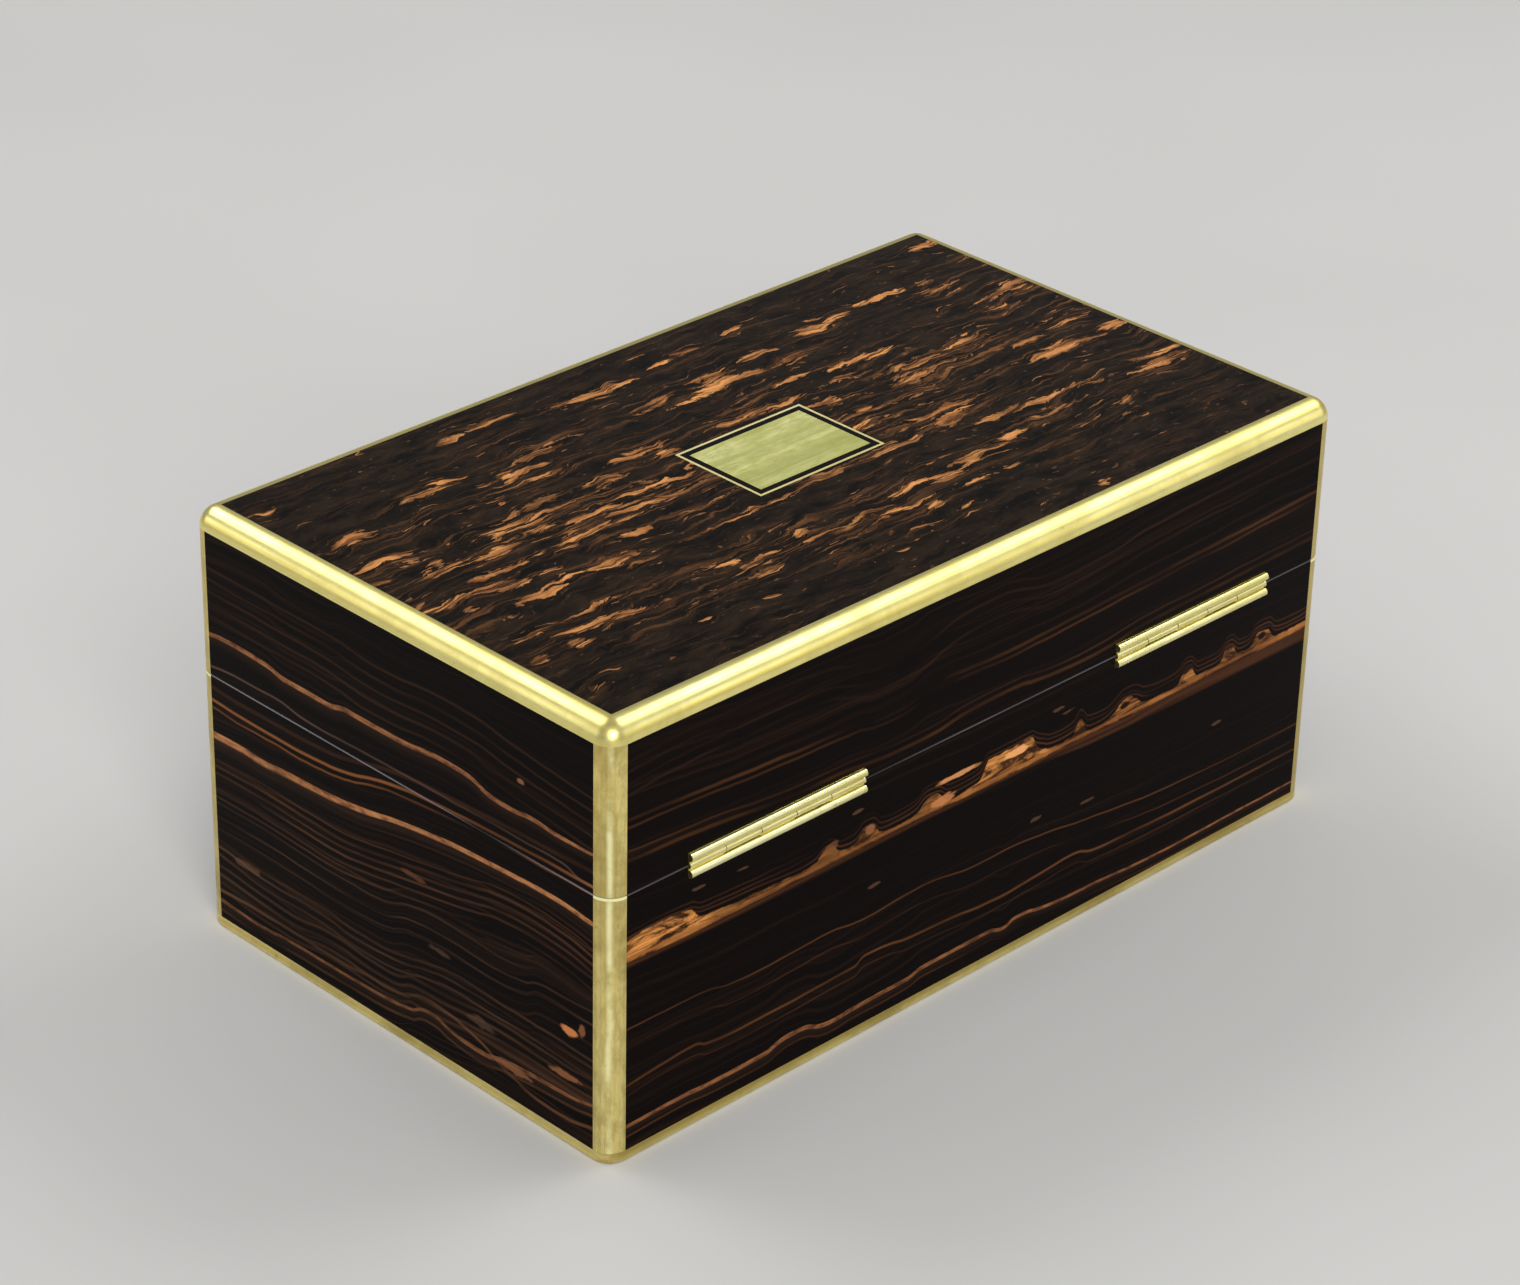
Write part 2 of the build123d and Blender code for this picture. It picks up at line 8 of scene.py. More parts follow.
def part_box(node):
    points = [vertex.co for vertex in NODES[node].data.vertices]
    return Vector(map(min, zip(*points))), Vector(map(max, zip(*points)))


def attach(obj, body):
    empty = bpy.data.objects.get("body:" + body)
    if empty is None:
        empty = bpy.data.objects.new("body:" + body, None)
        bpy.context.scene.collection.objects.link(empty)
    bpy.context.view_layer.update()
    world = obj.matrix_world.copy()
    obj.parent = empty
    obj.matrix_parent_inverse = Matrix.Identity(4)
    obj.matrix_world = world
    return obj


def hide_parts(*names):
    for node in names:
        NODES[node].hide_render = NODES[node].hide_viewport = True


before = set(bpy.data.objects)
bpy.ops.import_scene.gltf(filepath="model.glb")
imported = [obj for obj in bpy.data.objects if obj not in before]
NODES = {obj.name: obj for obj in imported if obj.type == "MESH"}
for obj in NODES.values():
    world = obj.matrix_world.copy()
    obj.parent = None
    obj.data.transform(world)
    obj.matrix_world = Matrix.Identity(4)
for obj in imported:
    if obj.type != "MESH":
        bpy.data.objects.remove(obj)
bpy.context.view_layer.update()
MM = 0.001
JOINT_Z = 0.088          # where the lid meets the base, in metres
SIDE_GLOSS = 0.03        # low, so that dark polish stays dark under a pale studio
TOP_GLOSS = 0.06


def rgb(r, g, b):
    """A colour read as 0 to 255 screen values, as the linear values that a shader takes."""
    out = []
    for c in (r, g, b):
        c /= 255.0
        out.append(c / 12.92 if c <= 0.04045 else ((c + 0.055) / 1.055) ** 2.4)
    return (*out, 1.0)


class Paint:
    """Builds one node material, in metres of the shared frame."""

    def __init__(self, name):
        self.material = bpy.data.materials.new(name)
        self.material.use_nodes = True
        self.tree = self.material.node_tree
        self.tree.nodes.clear()
        self.shader = self.add("ShaderNodeBsdfPrincipled")
        out = self.add("ShaderNodeOutputMaterial")
        self.tree.links.new(self.shader.outputs[0], out.inputs[0])
        self.place = self.add("ShaderNodeTexCoord").outputs["Object"]
        split = self.add("ShaderNodeSeparateXYZ")
        self.tree.links.new(self.place, split.inputs[0])
        self.x, self.y, self.z = split.outputs

    def add(self, kind, **values):
        node = self.tree.nodes.new(kind)
        for key, value in values.items():
            setattr(node, key, value)
        return node

    def feed(self, socket, value):
        if isinstance(value, bpy.types.NodeSocket):
            self.tree.links.new(value, socket)
        else:
            socket.default_value = value

    def math(self, op, a, b=0.0, c=0.0, clamp=False):
        node = self.add("ShaderNodeMath", operation=op, use_clamp=clamp)
        for socket, value in zip(node.inputs, (a, b, c)):
            self.feed(socket, value)
        return node.outputs[0]

    def vector(self, x, y, z):
        node = self.add("ShaderNodeCombineXYZ")
        for socket, value in zip(node.inputs, (x, y, z)):
            self.feed(socket, value)
        return node.outputs[0]

    def stretch(self, sx, sy, sz, shift=(0.0, 0.0, 0.0), vector=None):
        node = self.add("ShaderNodeMapping")
        self.feed(node.inputs["Vector"], vector or self.place)
        node.inputs["Location"].default_value = shift
        node.inputs["Scale"].default_value = (sx, sy, sz)
        return node.outputs[0]

    def noise(self, vector, detail=2.0, rough=0.5, warp=0.0):
        node = self.add("ShaderNodeTexNoise")
        self.feed(node.inputs["Vector"], vector)
        node.inputs["Scale"].default_value = 1.0
        node.inputs["Detail"].default_value = detail
        node.inputs["Roughness"].default_value = rough
        node.inputs["Distortion"].default_value = warp
        return node.outputs["Fac"]

    def span(self, value, a, b, c=0.0, d=1.0, kind="LINEAR"):
        """The value brought from a..b to c..d, and held there."""
        node = self.add("ShaderNodeMapRange", interpolation_type=kind)
        for socket, v in zip(node.inputs, (value, a, b, c, d)):
            self.feed(socket, v)
        return node.outputs[0]

    def ease(self, value, a, b):
        return self.span(value, a, b, kind="SMOOTHSTEP")

    def times(self, *values):
        total = values[0]
        for value in values[1:]:
            total = self.math("MULTIPLY", total, value)
        return total

    def minus(self, a, b):
        return self.math("SUBTRACT", a, b)

    def plus(self, a, b):
        return self.math("ADD", a, b)

    def apart(self, a, b):
        return self.math("ABSOLUTE", self.minus(a, b))

    def swing(self, value, amount, about=0.0):
        """A noise turned into an offset of either sign, about another value."""
        return self.math("MULTIPLY_ADD", self.minus(value, 0.5), amount, about)

    def mix(self, amount, a, b):
        node = self.add("ShaderNodeMix", data_type="RGBA")
        self.feed(node.inputs[0], amount)
        self.feed(node.inputs[6], a)
        self.feed(node.inputs[7], b)
        return node.outputs[2]

    def curve(self, value, points, low, high):
        """A line through (u, v) points in mm, low to high along u, as v in metres for u in metres."""
        v_min = min(v for _, v in points)
        v_max = max(v for _, v in points)
        room = max(v_max - v_min, 1e-3)
        node = self.add("ShaderNodeFloatCurve")
        line = node.mapping.curves[0]
        pts = sorted(((u - low) / (high - low), (v - v_min) / room) for u, v in points)
        line.points[0].location = pts[0]
        line.points[1].location = pts[-1]
        for p in pts[1:-1]:
            line.points.new(*p)
        for point in line.points:
            point.handle_type = "AUTO_CLAMPED"
        node.mapping.update()
        at = self.span(value, low * MM, high * MM)
        self.feed(node.inputs["Value"], at)
        return self.math("MULTIPLY_ADD", node.outputs[0], room * MM, v_min * MM)

    def bump(self, height, distance, strength=1.0, below=None):
        node = self.add("ShaderNodeBump")
        node.inputs["Strength"].default_value = strength
        node.inputs["Distance"].default_value = distance
        self.feed(node.inputs["Height"], height)
        if below is not None:
            self.feed(node.inputs["Normal"], below)
        return node.outputs[0]

    def set(self, **values):
        names = {"color": "Base Color", "metal": "Metallic", "rough": "Roughness", "normal": "Normal",
                 "specular": "Specular IOR Level", "sheen": "Sheen Weight",
                 "sheen_rough": "Sheen Roughness", "sheen_tint": "Sheen Tint"}
        for key, value in values.items():
            self.feed(self.shader.inputs[names[key]], value)
        return self.material


GROUND = rgb(12, 7, 6)
FINE = rgb(82, 52, 34)
FAINT = rgb(50, 33, 24)
STREAK = rgb(176, 110, 62)
BRIGHT = rgb(232, 156, 82)

# Lines of the figure on each face, in mm: (x, z) on the back, (y, z) on the end. The bold streak on
# the back has an upper edge, a lower edge and a shaded margin under it.
BACK_TOP = [(-147.1, 66.8), (-139.5, 66.4), (-131.5, 66.8), (-128.5, 69.6), (-124.5, 71.2), (-120.5, 69.6),
    (-116.5, 66.8), (-111.5, 68.4), (-108.5, 71.6), (-106.5, 69.6), (-101.5, 66.4), (-94.5, 66.4),
    (-91.5, 69.6), (-88.5, 70.8), (-85.5, 67.2), (-77.5, 66), (-69.5, 66.8), (-64.5, 69.6), (-60.5, 70.8),
    (-57.5, 69.6), (-53.5, 67.2), (-47.5, 66.4), (-41.9, 67.6), (-39.5, 71.6), (-37.5, 67.6),
    (-31.5, 66.8), (-23.5, 68.4), (-19.5, 71.6), (-17.5, 74), (-7.5, 73.6), (0.5, 73.6), (2.1, 71.6),
    (5.5, 67.2), (14.5, 66.8), (19.5, 68), (24.5, 71), (27.5, 70.4), (32.5, 67.2), (40.5, 66.8),
    (47.5, 68.4), (50.1, 72), (53.5, 71.6), (58.5, 67.6), (64.5, 69.6), (67.5, 71.6), (71.5, 68.4),
    (80.5, 67.6), (92.5, 68), (104.5, 68.4), (112.5, 68.8), (118.9, 70), (120.9, 73), (132.5, 74.4),
    (146.5, 73.6)]
BACK_UNDER = [(-147.1, 64), (-107.5, 64), (-67.5, 64), (-37.5, 64.4), (-7.5, 64.4), (24.5, 64.6),
    (52.5, 64.8), (92.5, 64.8), (119.5, 65), (146.5, 66)]
BACK_SHADE = [(-147.1, 59.2), (-87.5, 59.6), (-47.5, 60.4), (-7.5, 62.8), (92.5, 62.8), (146.5, 63.6)]
BACK_HAIR_1 = [(-147.1, 29), (-103.5, 29.6), (-47.5, 34), (-13.5, 38), (4.5, 38.4), (32.5, 41), (52.5, 40),
    (66.5, 41.4), (94.5, 40.8), (106.5, 41.4), (116.5, 43.4), (146.5, 44)]
BACK_HAIR_2 = [(-147.1, 19.6), (-97.5, 20), (-67.5, 20.8), (-49.5, 21.6), (-42.5, 23.6), (-37.5, 24),
    (-31.5, 23.6), (-17.5, 22.8), (-7.5, 22.6), (12.5, 24), (32.5, 25), (40.5, 26.4), (50.5, 27),
    (54.5, 25), (66.5, 24.8), (92.5, 24.4), (115.5, 25.4), (119.5, 27), (132.5, 26.4), (146.5, 25)]
BACK_LOW = [(-147.1, 7.6), (-97.5, 7.4), (-77.5, 7.6), (-57.5, 8.8), (-37.5, 9.6), (-23.5, 11),
    (-15.5, 12), (-9.5, 10.6), (-3.5, 12), (24.5, 12), (32.5, 10.6), (56.5, 10.4), (62.5, 10), (72.5, 12),
    (80.5, 13), (92.5, 11), (112.5, 11), (124.5, 11.6), (146.5, 11.4)]
BACK_LID_1 = [(-147.1, 112), (-77.5, 109.6), (-37.5, 108.4), (-7.5, 107.6), (12.5, 108), (22.5, 108.6),
    (32.5, 106.8), (44.5, 105.2), (56.5, 107), (72.5, 107.6), (102.5, 109), (132.5, 111), (146.5, 111.6)]
BACK_LID_2 = [(-147.1, 96), (-67.5, 94), (-33.5, 92), (-17.5, 93), (-7.5, 94), (12.5, 93.4), (32.5, 91.6),
    (62.5, 93.4), (82.5, 94), (112.5, 97), (146.5, 99)]
BACK_LID_3 = [(-147.1, 130), (-107.5, 128.8), (-67.5, 127), (-27.5, 123.6), (0.5, 127.6), (22.5, 125.2),
    (40.5, 122), (72.5, 127), (112.5, 128), (146.5, 126.4)]
END_ONE = [(-84, 101.6), (-68, 102.4), (-56, 102), (-46, 100.4), (-30, 100.4), (-20, 102), (0, 102),
    (14, 103), (26, 103.6), (38, 101.6), (50, 100.4), (58, 101), (70, 100.4), (84, 100.6)]
END_TWO = [(-84, 67.6), (-70, 68), (-60, 67.6), (-50, 68.4), (-30, 69.6), (-14, 71.6), (0, 74.4),
    (14, 76.4), (30, 78), (50, 79), (66, 79.6), (84, 78.4)]
END_THREE = [(-84, 79.6), (-70, 79), (-50, 79), (-34, 79.6), (-22, 81), (-10, 84), (0, 86), (14, 87.6),
    (50, 89.6), (84, 90.4)]
END_SEAM = [(-84, 91), (-54, 92.4), (-38, 90.8), (-10, 91.4), (20, 91.6), (34, 92), (50, 92.4), (70, 92.4),
    (80, 90.4), (84, 90.4)]
END_FOUR = [(-84, 57), (-60, 57.6), (-30, 57.2), (-14, 58.8), (0, 61.2), (14, 63.6), (22, 65), (34, 67.6),
    (46, 70), (58, 70.6), (70, 70), (84, 67.6)]
END_FIVE = [(-84, 39), (-60, 39.6), (-30, 39), (-10, 39.6), (6, 43.6), (22, 45), (40, 44.6), (54, 45.6),
    (62, 48.4), (84, 49.6)]
END_SIX = [(-84, 28.8), (-72, 27.6), (-60, 26.4), (-40, 27), (-30, 26.6), (-20, 25.6), (-4, 26.4),
    (14, 30), (30, 31.6), (84, 30.8)]
END_SEVEN = [(-84, 19), (-50, 17), (-30, 19), (-6, 18), (6, 21), (22, 22), (50, 24), (66, 23.6), (84, 24)]
END_EIGHT = [(-84, 9.6), (-66, 9), (-50, 10), (-30, 10.4), (-10, 11), (6, 13), (14, 15.6), (22, 14),
    (34, 13), (46, 15), (58, 16), (70, 16.4), (84, 18.4)]
END_NINE = [(-84, 13), (-58, 14), (-30, 14), (-14, 15), (2, 16), (14, 19.6), (30, 18), (50, 11), (66, 8.4),
    (84, 11)]
END_HIGH = [(-84, 112), (-30, 111.6), (-6, 110), (22, 111.6), (50, 109), (84, 106)]
# Flecks of the top veneer, in mm: (x, y, half length, half width).
FLECKS = [(-58.5, 40.6, 7, 2.4), (-40.5, 42.4, 14, 1.8), (-24.5, 45.6, 6, 1.8), (-8.5, 43.6, 8, 1.6),
    (-103.5, 47, 4, 1.6), (-80.5, 37, 12, 2), (-132.5, 36, 11, 2.8), (-134.5, 30.6, 9, 1.4),
    (-106.5, 32, 6, 1.2), (-86.5, 29.4, 18, 1.4), (-66.5, 27.6, 13, 1.4), (21.5, 48, 18, 1.2),
    (55.5, 47.6, 8, 1.6), (33.5, 43, 3, 2), (63.5, 42.4, 5, 1.2), (117.5, 42.4, 10, 1.8),
    (125.5, 48, 3.6, 2), (103.5, 45, 7, 1.6), (131.5, 36, 6, 1.6), (111.5, 35.6, 12, 1),
    (139.5, 47.6, 4, 1.6), (-8.5, 57, 3, 2.4), (-0.5, 52, 10, 1.2), (17.5, 54, 8, 1.2), (55.5, 53, 8, 1.2),
    (-14.5, 63.4, 3, 0.8), (-44.5, 54, 3, 1), (-28.5, 53.6, 5, 1), (-54.5, 19, 10, 2.4),
    (-52.5, 13.6, 12, 2), (-64.5, 15, 4, 1.6), (7.5, 21.6, 12, 1.6), (23.5, 22, 14, 1.8),
    (-24.5, 21.6, 18, 1), (47.5, 23, 12, 0.8), (85.5, 19, 8, 2.4), (115.5, 20.6, 10, 1.8),
    (103.5, 18, 6, 1.4), (77.5, 25, 5, 1), (-140.5, 8, 8, 3.2), (-116.5, 8.4, 11, 4), (121.5, 8, 7, 2.8),
    (115.5, 11, 8, 1.6), (69.5, 10, 6, 1.4), (-32.5, 6, 6, 1.6), (103.5, 11, 5, 1.2), (137.5, 7, 10, 2),
    (-110.5, -2, 9, 1.2), (-130.5, -4, 10, 1), (77.5, 1, 10, 2.4), (57.5, -1.6, 16, 1.2),
    (111.5, 2, 12, 1.2), (-62.5, -8, 8, 1.2), (-38.5, -3, 3, 1.6), (39.5, -8, 8, 1.6),
    (103.5, -7.4, 9, 2.4), (119.5, -9, 12, 1.6), (85.5, -9, 10, 1.6), (71.5, -7, 16, 1), (47.5, -8, 14, 1),
    (-86.5, -12.4, 12, 1), (-72.5, -15, 8, 1.6), (-34.5, -13, 3, 2.4), (-28.5, -15, 8, 1),
    (123.5, -13, 3, 2), (87.5, -14, 12, 1.2), (89.5, -17, 18, 2), (53.5, -19.6, 7, 2.8),
    (27.5, -21, 3.6, 2.8), (-20.5, -22, 10, 2), (-10.5, -24.4, 6, 2.4), (-48.5, -22.4, 8, 1.2),
    (79.5, -22, 10, 1.6), (-0.5, -23, 6, 1.2), (-96.5, -16, 8, 1.2), (-100.5, -19, 3, 1),
    (-64.5, -28, 12, 2.4), (-36.5, -32, 8, 1.6), (-132.5, -32.4, 12, 2.4), (-141.5, -35, 6, 2.4),
    (-124.5, -26, 6, 1.4), (35.5, -27, 11, 1.8), (133.5, -24, 10, 2), (85.5, -29.6, 2, 1.4),
    (71.5, -35, 14, 1), (68.5, -40.4, 9, 2.4), (81.5, -41.4, 4, 1.2), (131.5, -40.4, 8, 2.4),
    (-48.5, -43.6, 7, 2.4), (-28.5, -44.4, 18, 1.4), (-8.5, -42.4, 14, 1.2), (-20.5, -49, 8, 3.2),
    (7.5, -48, 7.6, 2.8), (59.5, -46.6, 3, 1.6), (53.5, -47, 6, 1.8), (96.5, -49, 10.4, 2.2),
    (-118.5, -50, 8, 2), (-120.5, -55, 4, 1.6), (-40.5, -52.4, 7, 2), (-66.5, -53.6, 6, 3.2),
    (-80.5, -55, 8, 1.6), (-102.5, -57, 7.6, 1.6), (-92.9, -57.6, 2.8, 2.4), (17.5, -66, 12.4, 2.4),
    (5.5, -65, 8, 1.2), (-24.5, -69, 6, 2), (-48.5, -70, 4, 1), (51.5, -72, 8, 1), (69.5, -72, 5, 1.6),
    (-140.5, -75.6, 7, 1.8), (139.5, -70, 4, 1.2), (-14.5, -68, 8, 1), (139.9, 70, 2.4, 1),
    (-55.5, 80.4, 2.4, 1.6), (90.5, 61.6, 2.4, 0.8), (67.5, 65, 2.4, 0.8), (19.5, 70, 2, 0.8)]


def polish(p, color, seed, gloss=SIDE_GLOSS):
    """French polish over the veneer: a smooth film with faint undulation and hairlines."""
    swell = p.noise(p.stretch(14, 14, 14, (seed, 0, 0)), detail=1)
    hair = p.noise(p.stretch(420, 420, 420, (0, seed, 0)), detail=2, warp=1.5)
    rough = p.span(p.noise(p.stretch(30, 30, 30, (seed, seed, 0)), detail=3), 0.3, 0.75, 0.05, 0.12)
    normal = p.bump(swell, 0.00030, 0.25)
    normal = p.bump(hair, 0.00002, 0.2, normal)
    return p.set(color=color, rough=rough, normal=normal, specular=gloss)


class Face(Paint):
    """Straight-grained veneer on an upright face. u runs along the face and z upwards."""

    def __init__(self, name, along, low, high, seed):
        super().__init__(name)
        self.u = self.x if along == "x" else self.y
        self.low, self.high, self.seed = low, high, seed
        self.flat = self.vector(self.u, 0.0, self.z)
        self.color = GROUND
        self.drawn = 0
        # noises that all the lines share: how they wander, where they fade and how their edges fray
        self.waves = [self.noise(self.stretch(34 + 9 * i, 1, 36 + 11 * i, (i, seed, 2), self.flat),
                                 detail=3) for i in range(3)]
        self.fades = [self.noise(self.stretch(9 + 3 * i, 1, 44, (i * 3, 0, seed), self.flat),
                                 detail=3) for i in range(4)]
        self.rags = self.noise(self.stretch(160, 1, 520, (1, 0, seed), self.flat), detail=3, rough=0.6)

    def trace(self, points):
        return self.curve(self.u, points, self.low, self.high)

    def follow(self, leads):
        """Bends the grain along the leads: between two of them it blends from one to the next."""
        total = None
        for points, at in leads:
            mean = sum(v for _, v in points) / len(points)
            sag = self.minus(self.trace(points), mean * MM)
            if total is None:
                total = sag
            else:
                total = self.mix_value(self.ease(self.z, *at), total, sag)
        sway = self.noise(self.stretch(11, 1, 17, (self.seed, 0, 0), self.flat), detail=1)
        jitter = self.noise(self.stretch(45, 1, 60, (0, self.seed, 0), self.flat), detail=2)
        z = self.minus(self.z, total)
        z = self.swing(sway, 0.009, z)
        z = self.swing(jitter, 0.0022, z)
        self.flow = self.vector(self.u, float(self.seed), z)

    def mix_value(self, amount, a, b):
        node = self.add("ShaderNodeMix", data_type="FLOAT")
        for i, value in ((0, amount), (2, a), (3, b)):
            self.feed(node.inputs[i], value)
        return node.outputs[0]

    def lay(self, amount, tone):
        self.color = self.mix(amount, self.color, tone)

    def grain(self, where, strength=0.9, pitch=520):
        """Fine lengthwise lines, gathered where the figure crowds."""
        fine = self.noise(self.stretch(4, 1, pitch, vector=self.flow), detail=5, rough=0.62, warp=0.12)
        broad = self.noise(self.stretch(2.2, 1, 62, (3, 0, 1), self.flow), detail=2)
        crowd = self.times(self.span(broad, 0.36, 0.66, 0.12, 1.0), where)
        self.lay(self.times(self.span(fine, 0.50, 0.70), crowd, strength), FINE)
        haze = self.noise(self.stretch(3, 1, 160, (1, 0, 4), self.flow), detail=3)
        self.lay(self.times(self.span(haze, 0.46, 0.72), crowd, 0.5 * strength), FAINT)
        pores = self.noise(self.stretch(90, 1, 1900, (0, 2, 5), self.flow), detail=2)
        self.lay(self.times(self.span(pores, 0.6, 0.8), 0.45), rgb(8, 5, 5))

    def wave(self, wander):
        self.drawn += 1
        return self.swing(self.waves[self.drawn % 3], wander * MM)

    def hair(self, points, width=0.5, amount=0.5, tone=STREAK, keep=0.45, wander=1.6):
        """One thin line that comes and goes."""
        height = self.plus(self.trace(points), self.wave(wander))
        gap = self.apart(self.z, height)
        band = self.ease(gap, width * MM, width * 0.2 * MM)
        fade = self.span(self.fades[self.drawn % 4], keep - 0.1, keep + 0.14)
        self.lay(self.times(band, fade, amount), tone)

    def line(self, points, width, amount=1.0, tone=STREAK, glow=BRIGHT, wander=0.9):
        """One bold line with a feathered lower edge and threads along it. width is (u, mm) points."""
        off = self.minus(self.z, self.plus(self.trace(points), self.wave(wander)))
        ratio = self.math("DIVIDE", off, self.trace(width))
        band = self.times(self.ease(ratio, 0.62, 0.4),
                          self.ease(ratio, -0.75, -0.35))
        thread = self.noise(self.stretch(30, 1, 1100, (self.drawn, self.seed, 0), self.flow), detail=3)
        band = self.times(band, self.span(thread, 0.28, 0.55, 0.4, 1.0), amount)
        band = self.times(band, self.span(self.rags, 0.32, 0.5, 0.55, 1.0))
        shade = self.times(self.ease(ratio, -3.4, -0.6),
                           self.span(ratio, 0.3, -0.5), 0.5)
        self.lay(shade, FAINT)
        self.lay(self.math("MINIMUM", band, 1.0), self.mix(self.span(self.rags, 0.38, 0.66), tone, glow))

    def painted_seam_glint(self, amount):
        """A painted glint: a pale line painted along the arris under the lid joint, broken up along its
        length.
        """
        near = self.times(self.span(self.z, JOINT_Z - 0.00048, JOINT_Z - 0.00038),
                          self.span(self.z, JOINT_Z - 0.00005, JOINT_Z - 0.00012))
        glint_breakup = self.span(self.fades[0], 0.38, 0.56, 0.1, 1.0)
        self.lay(self.times(near, glint_breakup, amount), rgb(168, 160, 164))

    def blot(self, u, z, a, b, amount=0.8, tone=STREAK, rag=0.9):
        """One small ragged patch, a by b mm."""
        du = self.math("DIVIDE", self.minus(self.u, u * MM), a * MM)
        dz = self.math("DIVIDE", self.minus(self.z, z * MM), b * MM)
        square = self.plus(self.times(du, du), self.times(dz, dz))
        far = self.math("SQRT", square)
        edge = self.swing(self.rags, 2 * rag, far)
        self.lay(self.times(self.ease(edge, 1.0, 0.6), amount), tone)


# the streak's upper edge with its peaks worn down, for the thin lines that hang above it
BACK_SCOOP = [(u, z if z < 69.2 else 69.2 + (z - 69.2) * 0.45) for u, z in BACK_TOP]


def back_figure(name, seed):
    p = Face(name, "x", -150, 150, seed)
    p.follow([(BACK_LOW, None), (BACK_UNDER, (0.03, 0.06)), (BACK_LID_1, (0.08, 0.1))])
    where = p.plus(p.span(p.z, 0.086, 0.108, 0.3, 0.6), p.span(p.z, 0.05, 0.02, 0.0, 0.2))
    p.grain(where, 0.5)
    p.hair(BACK_LID_1, 0.9, 0.15, keep=0.48)
    p.hair(shift(BACK_LID_1, -2.2), 0.7, 0.12, keep=0.5)
    p.hair(BACK_LID_2, 1.0, 0.13, keep=0.5)
    p.hair(shift(BACK_LID_2, 2.6), 0.6, 0.1)
    for dz, k in ((0, 0.26), (-3.4, 0.15), (-7.0, 0.2), (3.2, 0.14)):
        p.hair(shift(BACK_LID_3, dz), 0.8, k, FINE, keep=0.46)
    p.hair(BACK_HAIR_1, 0.5, 0.2, keep=0.46)
    p.hair(shift(BACK_HAIR_1, -6), 0.5, 0.14, keep=0.5)
    p.hair(BACK_HAIR_2, 0.7, 0.3, keep=0.42, wander=1.0)
    p.hair(shift(BACK_HAIR_2, -3.5), 0.5, 0.13, keep=0.5)
    p.hair(shift(BACK_LOW, -3.4), 0.5, 0.15, keep=0.48)
    p.line(BACK_LOW, [(-147, 0.7), (-60, 0.9), (0, 1.2), (60, 1.4), (90, 1.5), (147, 1.0)], 0.75,
           rgb(128, 80, 50), rgb(178, 116, 72), 0.7)
    # the bold streak: a band with a smooth lower edge, scooped along its upper edge
    nag = p.noise(p.stretch(95, 1, 150, (2, seed, 8), p.flat), detail=4, rough=0.62)
    top = p.swing(nag, 3.2 * MM, p.trace(BACK_TOP))
    low = p.swing(nag, 0.7 * MM, p.trace(BACK_UNDER))
    shade = p.trace(BACK_SHADE)
    body = p.times(p.ease(p.minus(top, p.z), 0.0, 0.0007),
                   p.ease(p.minus(p.z, low), -0.0003, 0.0005))
    under = p.times(p.span(p.minus(low, p.z), -0.0004, 0.0004),
                    p.span(p.minus(p.z, shade), 0.0, 0.0012))
    thread = p.noise(p.stretch(14, 1, 900, (0, seed, 3), p.flow), detail=3)
    p.lay(p.times(under, p.span(thread, 0.35, 0.6, 0.3, 0.8)), rgb(84, 50, 30))
    mottle = p.noise(p.stretch(55, 1, 210, (6, seed, 1), p.flat), detail=5, rough=0.66, warp=0.9)
    rise = p.math("DIVIDE", p.minus(p.z, low), p.minus(top, low))
    rise = p.span(rise, 0.0, 1.0)
    heat = p.trace([(-150, 0.5), (-126, 0.75), (-118, 0.35), (-100, 0.4), (-62, 0.65), (-50, 0.35),
                    (-35, 0.4), (-14, 1.0), (2, 0.85), (20, 0.6), (32, 0.25), (80, 0.2), (112, 0.35),
                    (121, 1.0), (150, 0.95)])
    heat = p.times(heat, 1 / MM)
    cool = p.span(heat, 0.3, 0.8, 0.5, 1.0)
    p.lay(body, p.mix(p.times(p.span(mottle, 0.38, 0.6), cool), rgb(44, 25, 14), rgb(122, 74, 38)))
    glow = p.times(body, p.span(mottle, 0.44, 0.6), heat, p.span(rise, 0.1, 0.5, 0.5, 1.0))
    p.lay(glow, rgb(236, 158, 82))
    fibre = p.noise(p.stretch(48, 1, 1500, (4, seed, 6), p.flat), detail=4, rough=0.68, warp=0.6)
    p.lay(p.times(body, p.span(fibre, 0.48, 0.62), 0.62), rgb(66, 37, 20))
    lip = p.apart(p.z, p.plus(low, 0.0011))
    lip = p.ease(lip, 0.0009, 0.0002)
    p.lay(p.times(lip, p.span(thread, 0.3, 0.55, 0.35, 0.9), cool), rgb(164, 102, 52))
    # garlands over the band, between its peaks
    for dz, k in ((1.3, 0.36), (2.9, 0.3), (4.6, 0.2)):
        p.hair(shift(BACK_SCOOP, dz), 0.55, k, rgb(124, 76, 48), keep=0.44, wander=2.2)
    p.blot(13.5, 73.6, 10.5, 1.1, 0.95, rgb(214, 146, 92), 0.55)
    p.blot(-11.5, 71.4, 6.5, 1.6, 0.95, rgb(250, 176, 108), 0.7)
    p.blot(20, 67.4, 6, 2.0, 0.8, rgb(206, 132, 80))
    p.blot(50.5, 69.8, 2.2, 2.2, 0.8, rgb(150, 98, 66))
    p.blot(66, 70.4, 3.0, 1.8, 0.6, rgb(120, 76, 50))
    p.blot(-60, 68.6, 2.6, 1.3, 1.0, rgb(34, 18, 10), 0.5)
    p.blot(-124.5, 69.0, 2.2, 1.5, 1.0, rgb(30, 14, 8), 0.5)
